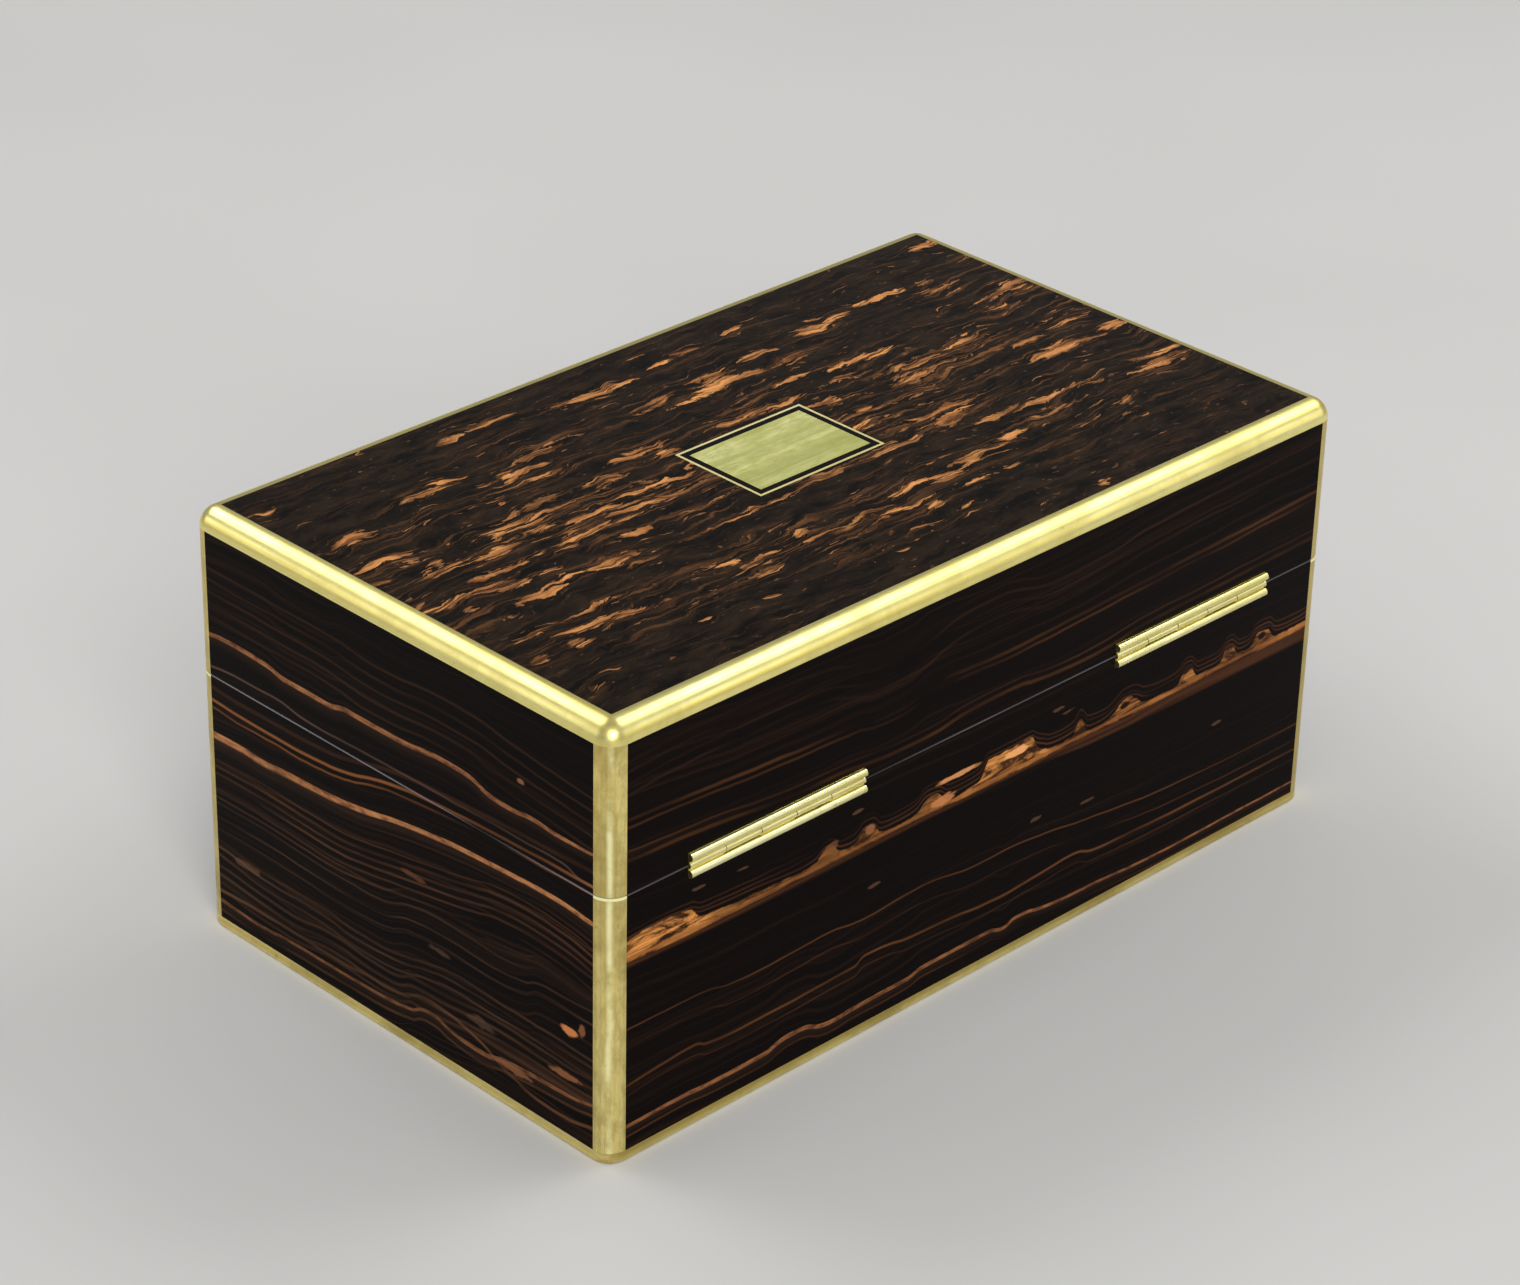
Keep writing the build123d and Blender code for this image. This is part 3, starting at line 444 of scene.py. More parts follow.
    # small slips of brown above and below it
    for u, height in ((118, 79), (101, 78), (56, 78), (-30, 79), (-34, 76.5), (48, 50), (-105, 45),
                      (-22, 44), (-45, 41)):
        p.blot(u, height, 3.0, 0.7, 0.5, rgb(112, 78, 58), 1.2)
    # painted glint along the arris under the lid joint
    p.painted_seam_glint(0.35)
    return polish(p, p.color, seed)


def end_figure(name, seed):
    p = Face(name, "y", -88, 88, seed)
    p.follow([(END_SEVEN, None), (END_FIVE, (0.022, 0.036)), (END_TWO, (0.045, 0.06)),
              (END_ONE, (0.088, 0.1))])
    near = p.minus(p.trace(END_TWO), p.z)
    where = p.plus(p.span(near, 0.0, 0.004, 0.3, 1.0), p.span(near, 0.016, 0.03, 0.0, -0.45))
    where = p.math("ADD", where, p.span(p.z, 0.034, 0.02, 0.0, 0.6), clamp=True)
    p.grain(where, 0.95, 560)
    p.hair(END_THREE, 0.8, 0.55, keep=0.36, wander=0.9)
    p.hair(shift(END_THREE, -2.5), 0.6, 0.35)
    p.hair(shift(END_THREE, 4.5), 1.1, 0.35, FINE, keep=0.36)
    p.hair(END_SEAM, 0.6, 0.4, rgb(130, 100, 84), keep=0.42)
    for dz, k, w in ((0, 0.6, 0.8), (-2.6, 0.45, 0.7), (-5.2, 0.5, 0.7), (-8, 0.4, 0.6),
                     (-11, 0.35, 0.6), (2.4, 0.35, 0.5)):
        p.hair(shift(END_FOUR, dz), w, 0.75 * k, rgb(126, 82, 54), keep=0.43, wander=1.2)
    for dz, k in ((0, 0.45), (5, 0.4), (-4, 0.3), (9, 0.35)):
        p.hair(shift(END_FIVE, dz), 0.6, 0.8 * k, rgb(104, 76, 58), keep=0.44)
    for dz, k in ((0, 0.6), (-3, 0.4), (2.5, 0.35)):
        p.hair(shift(END_SIX, dz), 0.7, 0.7 * k, rgb(120, 86, 62), keep=0.44, wander=2.0)
    for dz, k in ((0, 0.5), (-3, 0.45), (-5.5, 0.4), (3, 0.4)):
        p.hair(shift(END_SEVEN, dz), 0.9, 0.65 * k, rgb(110, 78, 54), keep=0.43, wander=2.2)
    p.hair(END_NINE, 0.9, 0.4, rgb(142, 96, 64), keep=0.44)
    p.hair(shift(END_EIGHT, -3.4), 0.8, 0.36, rgb(126, 86, 58), keep=0.42)
    for dz in (0, 4, 8, 12, -4):
        p.hair(shift(END_HIGH, dz), 0.7, 0.3, FINE, keep=0.4)
    p.line(END_EIGHT, [(-88, 1.2), (-40, 1.0), (20, 1.2), (40, 1.6), (60, 1.4), (88, 0.8)], 0.6,
           rgb(124, 80, 52), rgb(170, 114, 74))
    p.line(END_TWO, [(-88, 2.2), (-20, 1.9), (10, 1.5), (88, 1.5)], 0.95,
           rgb(158, 100, 62), rgb(204, 142, 92))
    p.line(END_ONE, [(-88, 1.3), (-30, 1.6), (30, 1.5), (70, 1.2), (88, 0.7)], 0.85,
           rgb(140, 88, 56), rgb(188, 126, 82))
    p.blot(74, 38.5, 4.2, 1.9, 1.0, rgb(206, 128, 76), 0.7)
    p.blot(74, 43.0, 3.8, 2.0, 1.0, rgb(10, 6, 5), 0.5)
    p.blot(79, 41, 1.6, 2.6, 0.7, rgb(150, 96, 60))
    p.blot(72, 23, 8.5, 1.5, 0.75, rgb(150, 96, 62))
    p.blot(50, 14, 9, 1.4, 0.65, rgb(150, 98, 66))
    p.blot(36, 23, 7, 2.0, 0.5, rgb(96, 70, 54))
    p.blot(-70, 27.6, 8, 1.6, 0.5, rgb(112, 80, 58))
    p.blot(18, 39, 5, 1.2, 0.45, rgb(100, 76, 58))
    p.blot(8, 59.5, 6, 1.2, 0.5, rgb(120, 76, 48))
    p.blot(54, 111, 2.2, 0.8, 0.8, rgb(150, 100, 74))
    # painted glint along the arris under the lid joint
    p.painted_seam_glint(0.7)
    return polish(p, p.color, seed)


def shift(points, dz):
    """The same line dz mm higher."""
    return [(u, z + dz) for u, z in points]


def top_figure(name):
    """Figured veneer: bright flecks drawn out along X in a wavy, dark ground."""
    p = Paint(name)
    bend = p.noise(p.stretch(24, 30, 1, (4.1, 2.3, 0)), detail=2, rough=0.55)
    ripple = p.noise(p.stretch(75, 110, 1, (1.7, 9.2, 0)), detail=3, rough=0.55)
    slow = p.swing(bend, 0.012)
    quick = p.swing(ripple, 0.007)
    warped = p.plus(p.plus(p.y, slow), quick)
    flow = p.vector(p.x, warped, 0.0)
    near = p.vector(p.x, p.plus(p.y, quick), 0.0)
    # the named flecks, as the distance to the nearest long ellipse
    least = None
    longer = 1.05
    for x, y, a, b in FLECKS:
        away = p.add("ShaderNodeVectorMath", operation="MULTIPLY_ADD")
        p.feed(away.inputs[0], near)
        away.inputs[1].default_value = (1 / (a * MM * longer), 1 / (b * MM), 0.0)
        away.inputs[2].default_value = (-x / (a * longer), -y / b, 0.0)
        far = p.add("ShaderNodeVectorMath", operation="LENGTH")
        p.feed(far.inputs[0], away.outputs[0])
        far = far.outputs["Value"]
        least = far if least is None else p.math("MINIMUM", least, far)
    rag = p.noise(p.stretch(62, 430, 1, (3.3, 5.5, 0), flow), detail=5, rough=0.66, warp=0.8)
    slit = p.noise(p.stretch(30, 640, 1, (8.3, 1.5, 0), flow), detail=4, rough=0.62, warp=0.5)
    edge = p.swing(rag, 4.6, least)
    fleck = p.times(p.ease(edge, 0.98, 0.72), p.span(slit, 0.43, 0.5, 0.12, 1.0))
    # how the small figure crowds over the panel
    crowd = p.curve(p.y, [(-86, 0.3), (-66, 0.42), (-46, 0.6), (-30, 0.8), (-10, 1.0), (14, 1.0),
                          (22, 0.75), (30, 0.35), (40, 0.65), (54, 0.6), (66, 0.4), (86, 0.3)], -90, 90)
    crowd = p.times(crowd, 1 / MM)
    drift = p.noise(p.stretch(13, 34, 1, (6.0, 1.0, 0)), detail=2)
    crowd = p.times(crowd, p.span(drift, 0.32, 0.62, 0.3, 1.15))
    halo = p.span(least, 3.2, 1.0, 0.0, 0.75)
    crowd = p.math("MAXIMUM", crowd, halo)
    small = p.noise(p.stretch(72, 400, 1, (2.2, 0.7, 0), flow), detail=4, rough=0.6, warp=0.8)
    limit = p.math("MULTIPLY_ADD", crowd, -0.10, 0.69)
    chips = p.ease(p.minus(small, limit), 0.0, 0.035)
    thin = p.noise(p.stretch(24, 480, 1, (7.7, 3.1, 0), flow), detail=5, rough=0.62, warp=0.9)
    lines = p.times(p.span(thin, 0.52, 0.64), p.span(crowd, 0.25, 0.95, 0.12, 0.95))
    haze = p.noise(p.stretch(60, 170, 1, (1.1, 7.1, 0), flow), detail=5, rough=0.7)
    specks = p.noise(p.stretch(260, 620, 1, (5.1, 2.1, 0)), detail=2)
    tone = p.noise(p.stretch(46, 240, 1, (9.9, 0.4, 0), flow), detail=4, rough=0.6)
    thread = p.noise(p.stretch(30, 1500, 1, (0.3, 0.2, 0), flow), detail=3)
    color = p.mix(p.span(haze, 0.4, 0.68), rgb(10, 7, 5), rgb(46, 33, 22))
    color = p.mix(p.times(p.span(specks, 0.66, 0.78), 0.6), color, rgb(112, 80, 58))
    color = p.mix(p.times(lines, 0.85), color,
                  p.mix(p.span(tone, 0.35, 0.65), rgb(80, 52, 29), rgb(152, 100, 56)))
    color = p.mix(p.times(chips, 0.9), color,
                  p.mix(p.span(tone, 0.35, 0.62), rgb(116, 74, 42), rgb(186, 126, 74)))
    hot = p.mix(p.span(tone, 0.38, 0.62), rgb(130, 80, 44), rgb(236, 162, 94))
    hot = p.mix(p.span(thread, 0.5, 0.75, 0.0, 0.65), hot, rgb(104, 60, 30))
    color = p.mix(p.times(fleck, 0.95), color, hot)
    rim = p.times(p.span(edge, 0.72, 0.95), p.span(edge, 1.35, 1.1))
    color = p.mix(p.times(rim, 0.6), color, rgb(12, 8, 6))
    dark = p.noise(p.stretch(17, 150, 1, (9.1, 4.4, 0), flow), detail=3)
    color = p.mix(p.times(p.span(dark, 0.55, 0.66), 0.6), color, rgb(14, 10, 8))
    # painted shade: the veneer within the brass line is painted near-black, so the gap round the plate
    # reads dark
    low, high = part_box("plate_line")
    gap_shade_mask = None
    for value, a, b in ((p.x, low[0], high[0]), (p.y, low[1], high[1])):
        far = p.apart(value, (a + b) / 2)
        near = p.math("LESS_THAN", far, (b - a) / 2)
        gap_shade_mask = near if gap_shade_mask is None else p.times(gap_shade_mask, near)
    color = p.mix(gap_shade_mask, color, rgb(14, 10, 8))
    return polish(p, color, 3.0, TOP_GLOSS)


def along(axis, across, length):
    """Noise scales for a figure drawn out along one axis."""
    scale = [across, across, across]
    scale["xyz".index(axis)] = length
    return scale


def brass(name, axis, light, deep, dull, metal_rough, scratch=0.6, cut=1.0, patina=0.6, metal=1.0,
          mottle=0.25, painted_glints=False):
    """Brass brushed along one axis: fine lengthwise scratches, handling marks and dull patches; on the
    straps also a painted highlight down the rounded corner and a painted glint under the lid joint.
    """
    p = Paint(name)
    scale = along(axis, 2400.0, 14.0)
    lines = p.noise(p.stretch(*scale), detail=3, rough=0.6)
    coarse = [s / 5 for s in scale]
    bands = p.noise(p.stretch(*coarse, (3, 1, 2)), detail=3, rough=0.55)
    cloud = p.noise(p.stretch(38, 38, 38, (1, 5, 2)), detail=4, rough=0.6, warp=0.5)
    spots = p.noise(p.stretch(260, 260, 260, (8, 3, 1)), detail=3, rough=0.7)
    streaks = [s / 22 for s in scale]
    wide = p.noise(p.stretch(*streaks, (5, 2, 7)), detail=4, rough=0.6)
    color = p.mix(p.span(bands, 0.34, 0.66), deep, light)
    color = p.mix(p.times(p.span(wide, 0.42, 0.62), patina), color, dull)
    color = p.mix(p.times(p.span(cloud, 0.48, 0.66), patina), color, dull)
    color = p.mix(p.times(p.span(spots, 0.66, 0.78), 0.5), color, rgb(96, 80, 40))
    tarnish = p.noise(p.stretch(*along(axis, 520.0, 170.0), (2, 9, 4)), detail=4, rough=0.7)
    color = p.mix(p.times(p.span(tarnish, 0.42, 0.62), mottle), color, dull)
    wear = p.plus(p.times(cloud, 0.6), p.times(lines, 0.4))
    rough = p.span(wear, 0.35, 0.68, *metal_rough)
    normal = p.bump(bands, 0.00004 * cut, scratch)
    normal = p.bump(lines, 0.00002 * cut, scratch, normal)
    dents = p.noise(p.stretch(120, 120, 120, (4, 4, 4)), detail=2)
    normal = p.bump(dents, 0.00012, 0.25, normal)
    if painted_glints:
        # painted highlight down the straps' rounded corner and a painted glint on the arris under the lid
        # joint, both pale and less metallic
        side = p.minus(p.math("ABSOLUTE", p.x), p.math("ABSOLUTE", p.y))
        sway = p.swing(p.noise(p.stretch(9, 9, 60, (6, 6, 1)), detail=3), 0.0034)
        off = p.math("ABSOLUTE", p.plus(p.minus(side, CORNER), sway))
        glint_breakup = p.noise(p.stretch(5, 5, 42, (1, 8, 3)), detail=4, rough=0.65)
        corner_highlight = p.times(p.ease(off, 0.0021, 0.0), p.span(glint_breakup, 0.42, 0.58, 0.0, 0.85))
        joint = p.times(p.span(p.z, JOINT_Z - 0.0012, JOINT_Z - 0.0009),
                        p.span(p.z, JOINT_Z + 0.00006, JOINT_Z - 0.00002))
        painted_glint = p.math("MAXIMUM", corner_highlight, joint)
        color = p.mix(painted_glint, color, rgb(255, 252, 190))
        metal = p.span(painted_glint, 0.0, 1.0, metal, 0.3)
    return p.set(color=color, metal=metal, rough=rough, normal=normal)


def darker(colour):
    """A third of the light, for pores and for the shade between tufts."""
    return (*(c * 0.35 for c in colour[:3]), 1.0)


def plain_wood(name, axis, light, deep, rough=(0.38, 0.6), gloss=0.3, seed=0.0):
    """Solid wood with its grain along one axis."""
    p = Paint(name)
    scale = along(axis, 150.0, 5.0)
    rings = p.noise(p.stretch(*scale, (seed, 1, 2)), detail=4, rough=0.6, warp=0.6)
    fine = [s * 6 for s in scale]
    pores = p.noise(p.stretch(*fine, (2, seed, 5)), detail=2)
    color = p.mix(p.span(rings, 0.3, 0.7), deep, light)
    color = p.mix(p.times(p.span(pores, 0.58, 0.72), 0.6), color, darker(deep))
    normal = p.bump(pores, 0.00006, 0.4)
    return p.set(color=color, rough=p.span(rings, 0.3, 0.7, *rough), normal=normal, specular=gloss)


def velvet(name, deep, light, pile=2600.0):
    """Short pile, brushed in slow drifts, with a soft sheen."""
    p = Paint(name)
    tufts = p.noise(p.stretch(pile, pile, pile), detail=2, rough=0.7)
    drift = p.noise(p.stretch(26, 26, 26, (2, 4, 6)), detail=3, rough=0.55, warp=0.8)
    color = p.mix(p.span(drift, 0.25, 0.75), deep, light)
    color = p.mix(p.times(p.span(tufts, 0.35, 0.6, 1.0, 0.0), 0.55), color, darker(deep))
    normal = p.bump(tufts, 0.00025, 0.5)
    normal = p.bump(drift, 0.0008, 0.3, normal)
    return p.set(color=color, rough=0.95, normal=normal, specular=0.12, sheen=0.55, sheen_rough=0.35,
                 sheen_tint=(0.55, 0.62, 0.95, 1.0))


def ribbon(name):
    """Ribbed silk ribbon, its ribs running across."""
    p = Paint(name)
    rib_pitch, warp_pitch = 0.0007, 0.00035
    ribs = p.math("SINE", p.times(p.z, 2 * math.pi / rib_pitch))
    warp = p.math("SINE", p.times(p.y, 2 * math.pi / warp_pitch))
    weave = p.math("MULTIPLY_ADD", warp, 0.35, ribs)
    fade = p.noise(p.stretch(120, 120, 120), detail=2)
    color = p.mix(p.span(weave, -1.2, 1.2), rgb(38, 50, 96), rgb(84, 104, 168))
    color = p.mix(p.span(fade, 0.4, 0.8, 0.0, 0.4), color, rgb(60, 72, 120))
    return p.set(color=color, rough=0.5, normal=p.bump(weave, 0.00008, 0.6), specular=0.35,
                 sheen=0.3, sheen_rough=0.3)


def felt(name):
    """Dense baize: short matted fibres."""
    p = Paint(name)
    fibre = p.noise(p.stretch(1500, 1500, 1500), detail=4, rough=0.75, warp=1.2)
    wear = p.noise(p.stretch(30, 30, 30), detail=3)
    color = p.mix(p.span(fibre, 0.3, 0.7), rgb(44, 48, 58), rgb(84, 90, 104))
    color = p.mix(p.span(wear, 0.5, 0.8, 0.0, 0.5), color, rgb(98, 100, 106))
    return p.set(color=color, rough=0.97, normal=p.bump(fibre, 0.0003, 0.6), specular=0.1, sheen=0.3)


def steel(name):
    """Old bright steel, rubbed along X, with specks of rust."""
    p = Paint(name)
    lines = p.noise(p.stretch(160, 2600, 2600), detail=3)
    rust = p.noise(p.stretch(420, 420, 420), detail=4, rough=0.7)
    color = p.mix(p.span(lines, 0.3, 0.7), rgb(150, 150, 152), rgb(196, 196, 198))
    color = p.mix(p.times(p.span(rust, 0.6, 0.75), 0.7), color, rgb(104, 84, 66))
    return p.set(color=color, metal=1.0, rough=p.span(rust, 0.35, 0.7, 0.28, 0.5),
                 normal=p.bump(lines, 0.00003, 0.5))


# how much farther a corner is from the middle along X than along Y, in metres
STRAP_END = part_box("base_corner_straps")[1]
CORNER = STRAP_END.x - STRAP_END.y
# light, deep and dull tones of each brass, light and deep ones of the carcass wood
BRIGHT_BRASS = rgb(255, 247, 172), rgb(248, 226, 124), rgb(222, 208, 122)
OLD_BRASS = rgb(255, 242, 166), rgb(234, 210, 122), rgb(174, 152, 80)
HINGE_BRASS = rgb(255, 252, 200), rgb(246, 232, 150), rgb(224, 212, 134)
PLATE_BRASS = rgb(255, 255, 190), rgb(244, 240, 146), rgb(188, 190, 100)
LINE_BRASS = rgb(255, 250, 200), rgb(248, 234, 160), rgb(232, 216, 142)
MAHOGANY = rgb(142, 82, 48), rgb(96, 50, 28)

MATS = {
    "top": top_figure("top_veneer"),
    "back": back_figure("back_veneer", 1.0),
    "right": end_figure("right_end_veneer", 2.0),
    "edge_x": brass("bright_brass_x", "x", *BRIGHT_BRASS, (0.28, 0.44)),
    "edge_y": brass("bright_brass_y", "y", *BRIGHT_BRASS, (0.28, 0.44)),
    # the straps also carry a painted highlight down their corner and a painted glint under the lid joint
    "strap": brass("strap_brass", "z", *OLD_BRASS, (0.22, 0.42), 0.7, 1.6, 0.75, metal=0.9,
                   mottle=0.45, painted_glints=True),
    "foot_x": brass("foot_brass_x", "x", *OLD_BRASS, (0.28, 0.45)),
    "foot_y": brass("foot_brass_y", "y", *OLD_BRASS, (0.28, 0.45)),
    "hinge": brass("hinge_brass", "x", *HINGE_BRASS, (0.28, 0.4), 0.3),
    "plate": brass("plate_brass", "x", *PLATE_BRASS, (0.42, 0.6), 1.0, 2.4, 0.7, metal=0.65,
                   mottle=0.5),
    "line": brass("line_brass", "x", *LINE_BRASS, (0.45, 0.6), metal=0.55),
    "lock": brass("lock_brass", "x", *OLD_BRASS, (0.25, 0.42)),
    "steel": steel("worn_steel"),
    "rim_x": plain_wood("rim_wood_x", "x", rgb(60, 34, 24), rgb(26, 17, 14), (0.2, 0.32), 0.35, 1.0),
    "wood_x": plain_wood("mahogany_x", "x", *MAHOGANY, seed=2.0),
    "wood_y": plain_wood("mahogany_y", "y", *MAHOGANY, seed=4.0),
    "velvet": velvet("blue_velvet", rgb(26, 35, 72), rgb(42, 54, 102)),
    "silk": velvet("blue_silk_velvet", rgb(44, 58, 110), rgb(62, 78, 134), 1900.0),
    "ribbon": ribbon("blue_ribbon"),
    "baize": felt("dark_baize"),
}

# Material to CAD nodes. The hidden front and left faces repeat the figure of the back and the right.
FINISH = {
    "top": ["lid_veneer_top"],
    "back": ["base_veneer_back", "lid_veneer_back", "base_veneer_front", "lid_veneer_front"],
    "right": ["base_veneer_right", "lid_veneer_right", "base_veneer_left", "lid_veneer_left"],
    "edge_x": ["lid_edging_front", "lid_edging_back", "lid_edging_back_end", "escutcheon"],
    "edge_y": ["lid_edging_left", "lid_edging_right"],
    "strap": ["lid_corner_straps", "base_corner_straps"],
    "foot_x": ["foot_strips_long"],
    "foot_y": ["foot_strips_short"],
    "hinge": ["hinge_leaves_base", "hinge_leaves_lid"],
    "steel": ["hinge_pins", "hinge_screws_base", "hinge_screws_lid", "lock_screws",
              "hook_plate_screws", "lock_bolt", "key"],
    "plate": ["initial_plate"],
    "line": ["plate_line"],
    "lock": ["lock_case", "lock_selvedge", "lid_hook_plate"],
    "rim_x": ["base_rim_banding", "lid_rim_banding"],
    "wood_x": ["base_board_front", "base_board_back", "base_bottom_board", "lid_rail_front",
               "lid_rail_back", "lid_top_board"],
    "wood_y": ["base_board_left", "base_board_right", "lid_rail_left", "lid_rail_right"],
    "velvet": ["well_lining_long", "well_lining_short", "lid_wall_lining", "well_divider",
               "tray_sides_long", "tray_sides_short", "tray_floor", "tray_divider_long",
               "tray_dividers_cross"],
    "baize": ["underside_baize"],
}

# How far the edges of a CAD node are eased, in mm, by a part of its name.
ROUND = {
    "lid_edging": 0.3, "lid_corner": 0.4, "base_corner": 0.4, "foot_strips": 0.2, "initial_plate": 0.2,
    "plate_line": 0.05, "lid_veneer": 0.12, "base_veneer": 0.12, "escutcheon": 0.3,
    "key": 0.25, "lock": 0.15, "tray": 0.6, "well_lining": 0.3, "well_divider": 0.8, "lid_wall": 0.25,
    "rim": 0.15, "hook": 0.2,
}


def put(name, data):
    """A new object in the scene."""
    made = bpy.data.objects.new(name, data)
    bpy.context.scene.collection.objects.link(made)
    return made


def finish_node(name, key):
    piece = NODES[name]
    piece.data.materials.clear()
    piece.data.materials.append(MATS[key])
    # the reeded hinges are already round
    if name.startswith(("hinge_leaves", "hinge_pins")):
        return
    width = next((w for part, w in ROUND.items() if part in name), 0.15)
    bevel = piece.modifiers.new("eased edges", "BEVEL")
    bevel.width = width * MM
    bevel.segments = 2
    bevel.limit_method = "ANGLE"
    bevel.angle_limit = math.radians(40)


for key, nodes in FINISH.items():
    for node in nodes:
        finish_node(node, key)


def new_piece(name, bm, key, body):
    mesh = bpy.data.meshes.new(name)
    bmesh.ops.recalc_face_normals(bm, faces=bm.faces)
    bm.to_mesh(mesh)
    bm.free()
    for face in mesh.polygons:
        face.use_smooth = True
    piece = put(name, mesh)
    mesh.materials.append(MATS[key])
    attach(piece, body)
    return piece


def cushion(bm, x0, x1, y0, y1, z0, z1, seed):
    """A crowned closed form: sides drawn in between the corners, a flat underside. All in mm."""
    cell = 3.0
    nx = max(6, int((x1 - x0) / cell))
    ny = max(6, int((y1 - y0) / cell))
    nz = 5
    edge = 0.6               # height of the rim as a share of the crown
    draw = 0.7               # how far the sides pull in
    rumple = 0.25            # how deep the top's hollows are
    cx, cy = (x0 + x1) / 2, (y0 + y1) / 2
    hx, hy = (x1 - x0) / 2, (y1 - y0) / 2
    made = {}

    def point(i, j, k):
        key = (i, j, k)
        if key in made:
            return made[key]
        a, b, c = 2 * i / nx - 1, 2 * j / ny - 1, k / nz
        fa = (1 - abs(a) ** 5) * (1 - abs(b) ** 5)
        crown = edge + (1 - edge) * fa
        side = 0.35 * math.sin(math.pi * c) - 0.35
        top_in = 1.1 * (c ** 3)
        px = cx + a * (hx - draw * (1 - b * b) * abs(a) ** 3 - (top_in - side) * abs(a) ** 6)
        py = cy + b * (hy - draw * (1 - a * a) * abs(b) ** 3 - (top_in - side) * abs(b) ** 6)
        pz = z0 + (z1 - z0) * c * crown
        if k == nz:
            pz -= rumple * (0.5 + 0.5 * noise.noise(Vector((px * 0.05 + seed, py * 0.05, seed)))) * fa
        made[key] = bm.verts.new((px * MM, py * MM, pz * MM))
        return made[key]

    def quad(*keys):
        bm.faces.new([point(*k) for k in keys])

    for i in range(nx):
        for j in range(ny):
            for k in (0, nz):
                quad((i, j, k), (i + 1, j, k), (i + 1, j + 1, k), (i, j + 1, k))
    for k in range(nz):
        for i in range(nx):
            for j in (0, ny):
                quad((i, j, k), (i + 1, j, k), (i + 1, j, k + 1), (i, j, k + 1))
        for j in range(ny):
            for i in (0, nx):
                quad((i, j, k), (i, j + 1, k), (i, j + 1, k + 1), (i, j, k + 1))


def soften(piece):
    mod = piece.modifiers.new("soft", "SUBSURF")
    mod.levels = mod.render_levels = 1


# All in mm: half the inside of the box, of the well between its linings, and of the tray; the faces of
# the well's divider and of the tray's dividers; the pads' undersides and crowns.
IN_X, IN_Y = 142.5, 80.0
WELL_X, WELL_Y = 138.5, 76.0
TRAY_X, TRAY_Y = 135.9, 73.6
WELL_SPLIT = 2.0
CROSS_IN, CROSS_OUT = 46.5, 49.5
LONG_FRONT, LONG_BACK = 22.0, 25.0
WELL_PAD = (9.5, 12.5)
TRAY_PAD = (53.0, 56.0)

bm = bmesh.new()
cushion(bm, -WELL_X, -WELL_SPLIT, -WELL_Y, WELL_Y, *WELL_PAD, seed=1.0)
cushion(bm, WELL_SPLIT, WELL_X, -WELL_Y, WELL_Y, *WELL_PAD, seed=2.0)
well_pads = new_piece("well_velvet_pads", bm, "velvet", "base")
soften(well_pads)
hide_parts("well_floor_pads")

bm = bmesh.new()
cushion(bm, -TRAY_X, TRAY_X, LONG_BACK, TRAY_Y, *TRAY_PAD, seed=3.0)
cushion(bm, -CROSS_IN, CROSS_IN, -TRAY_Y, LONG_FRONT, *TRAY_PAD, seed=4.0)
cushion(bm, CROSS_OUT, TRAY_X, -TRAY_Y, LONG_FRONT, *TRAY_PAD, seed=5.0)
tray_pads = new_piece("tray_velvet_pads", bm, "velvet", "tray")
soften(tray_pads)
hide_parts("tray_floor_pads")


def ring_roll(bm, y, seed):
    """One ring roll: flat sides, round crown, ends gathered in."""
    x0, x1 = -134.7, -CROSS_OUT
    r, low, high = 5.4, TRAY_PAD[0], 76.0
    outline = [(-r * 0.96, low), (-r, low + 3), (-r, low + 9), (-r, low + 14)]
    for i in range(13):
        t = math.pi - math.pi * i / 12
        outline.append((r * math.cos(t), high - r + r * math.sin(t)))
    outline += [(r, low + 14), (r, low + 9), (r, low + 3), (r * 0.96, low)]
    n = 30
    rings = []
    for s in range(n + 1):
        a = 2 * s / n - 1
        near = max(0.0, (abs(a) - 0.93) / 0.07)
        shrink = 1.0 - 0.32 * near ** 2
        x = (x0 + x1) / 2 + (x1 - x0) / 2 * a
        ring = []
        for dy, z in outline:
            wob = abs(0.18 * noise.noise(Vector((x * 0.11, dy * 0.2 + seed * 7, z * 0.11))))
            across = y + dy * shrink * (0.985 - wob * 0.1)
            up = low + (z - low) * (1 - 0.10 * near ** 2) - wob * (z > high - r)
            ring.append(bm.verts.new((x * MM, across * MM, up * MM)))
        rings.append(ring)
    m = len(outline)
    for s in range(n):
        for i in range(m - 1):
            bm.faces.new([rings[s][i], rings[s + 1][i], rings[s + 1][i + 1], rings[s][i + 1]])
        bm.faces.new([rings[s][m - 1], rings[s + 1][m - 1], rings[s + 1][0], rings[s][0]])
    for ring in (rings[0], rings[-1]):
        middle = bm.verts.new(sum((v.co for v in ring), Vector()) / m)
        for i in range(m):
            bm.faces.new([ring[i], ring[(i + 1) % m], middle])


bm = bmesh.new()
ROLLS = 8
pitch = (LONG_FRONT + TRAY_Y) / ROLLS
for i in range(ROLLS):
    ring_roll(bm, -TRAY_Y + (i + 0.5) * pitch, i)
rolls = new_piece("ring_roll_velvets", bm, "velvet", "tray")
soften(rolls)
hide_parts("ring_rolls")


# The lid panel faces down. All in mm: its seams, rim, lowest crowns and back, half its size and how far
# its stitches run.
SEAM_Z, RIM_Z, CROWN_Z, BACK_Z = 129.2, 127.5, 124.5, 132.0
PANEL_X, PANEL_Y = IN_X - 1.0, IN_Y - 1.0
SEWN_Y = 70.0
CHANNELS = 9


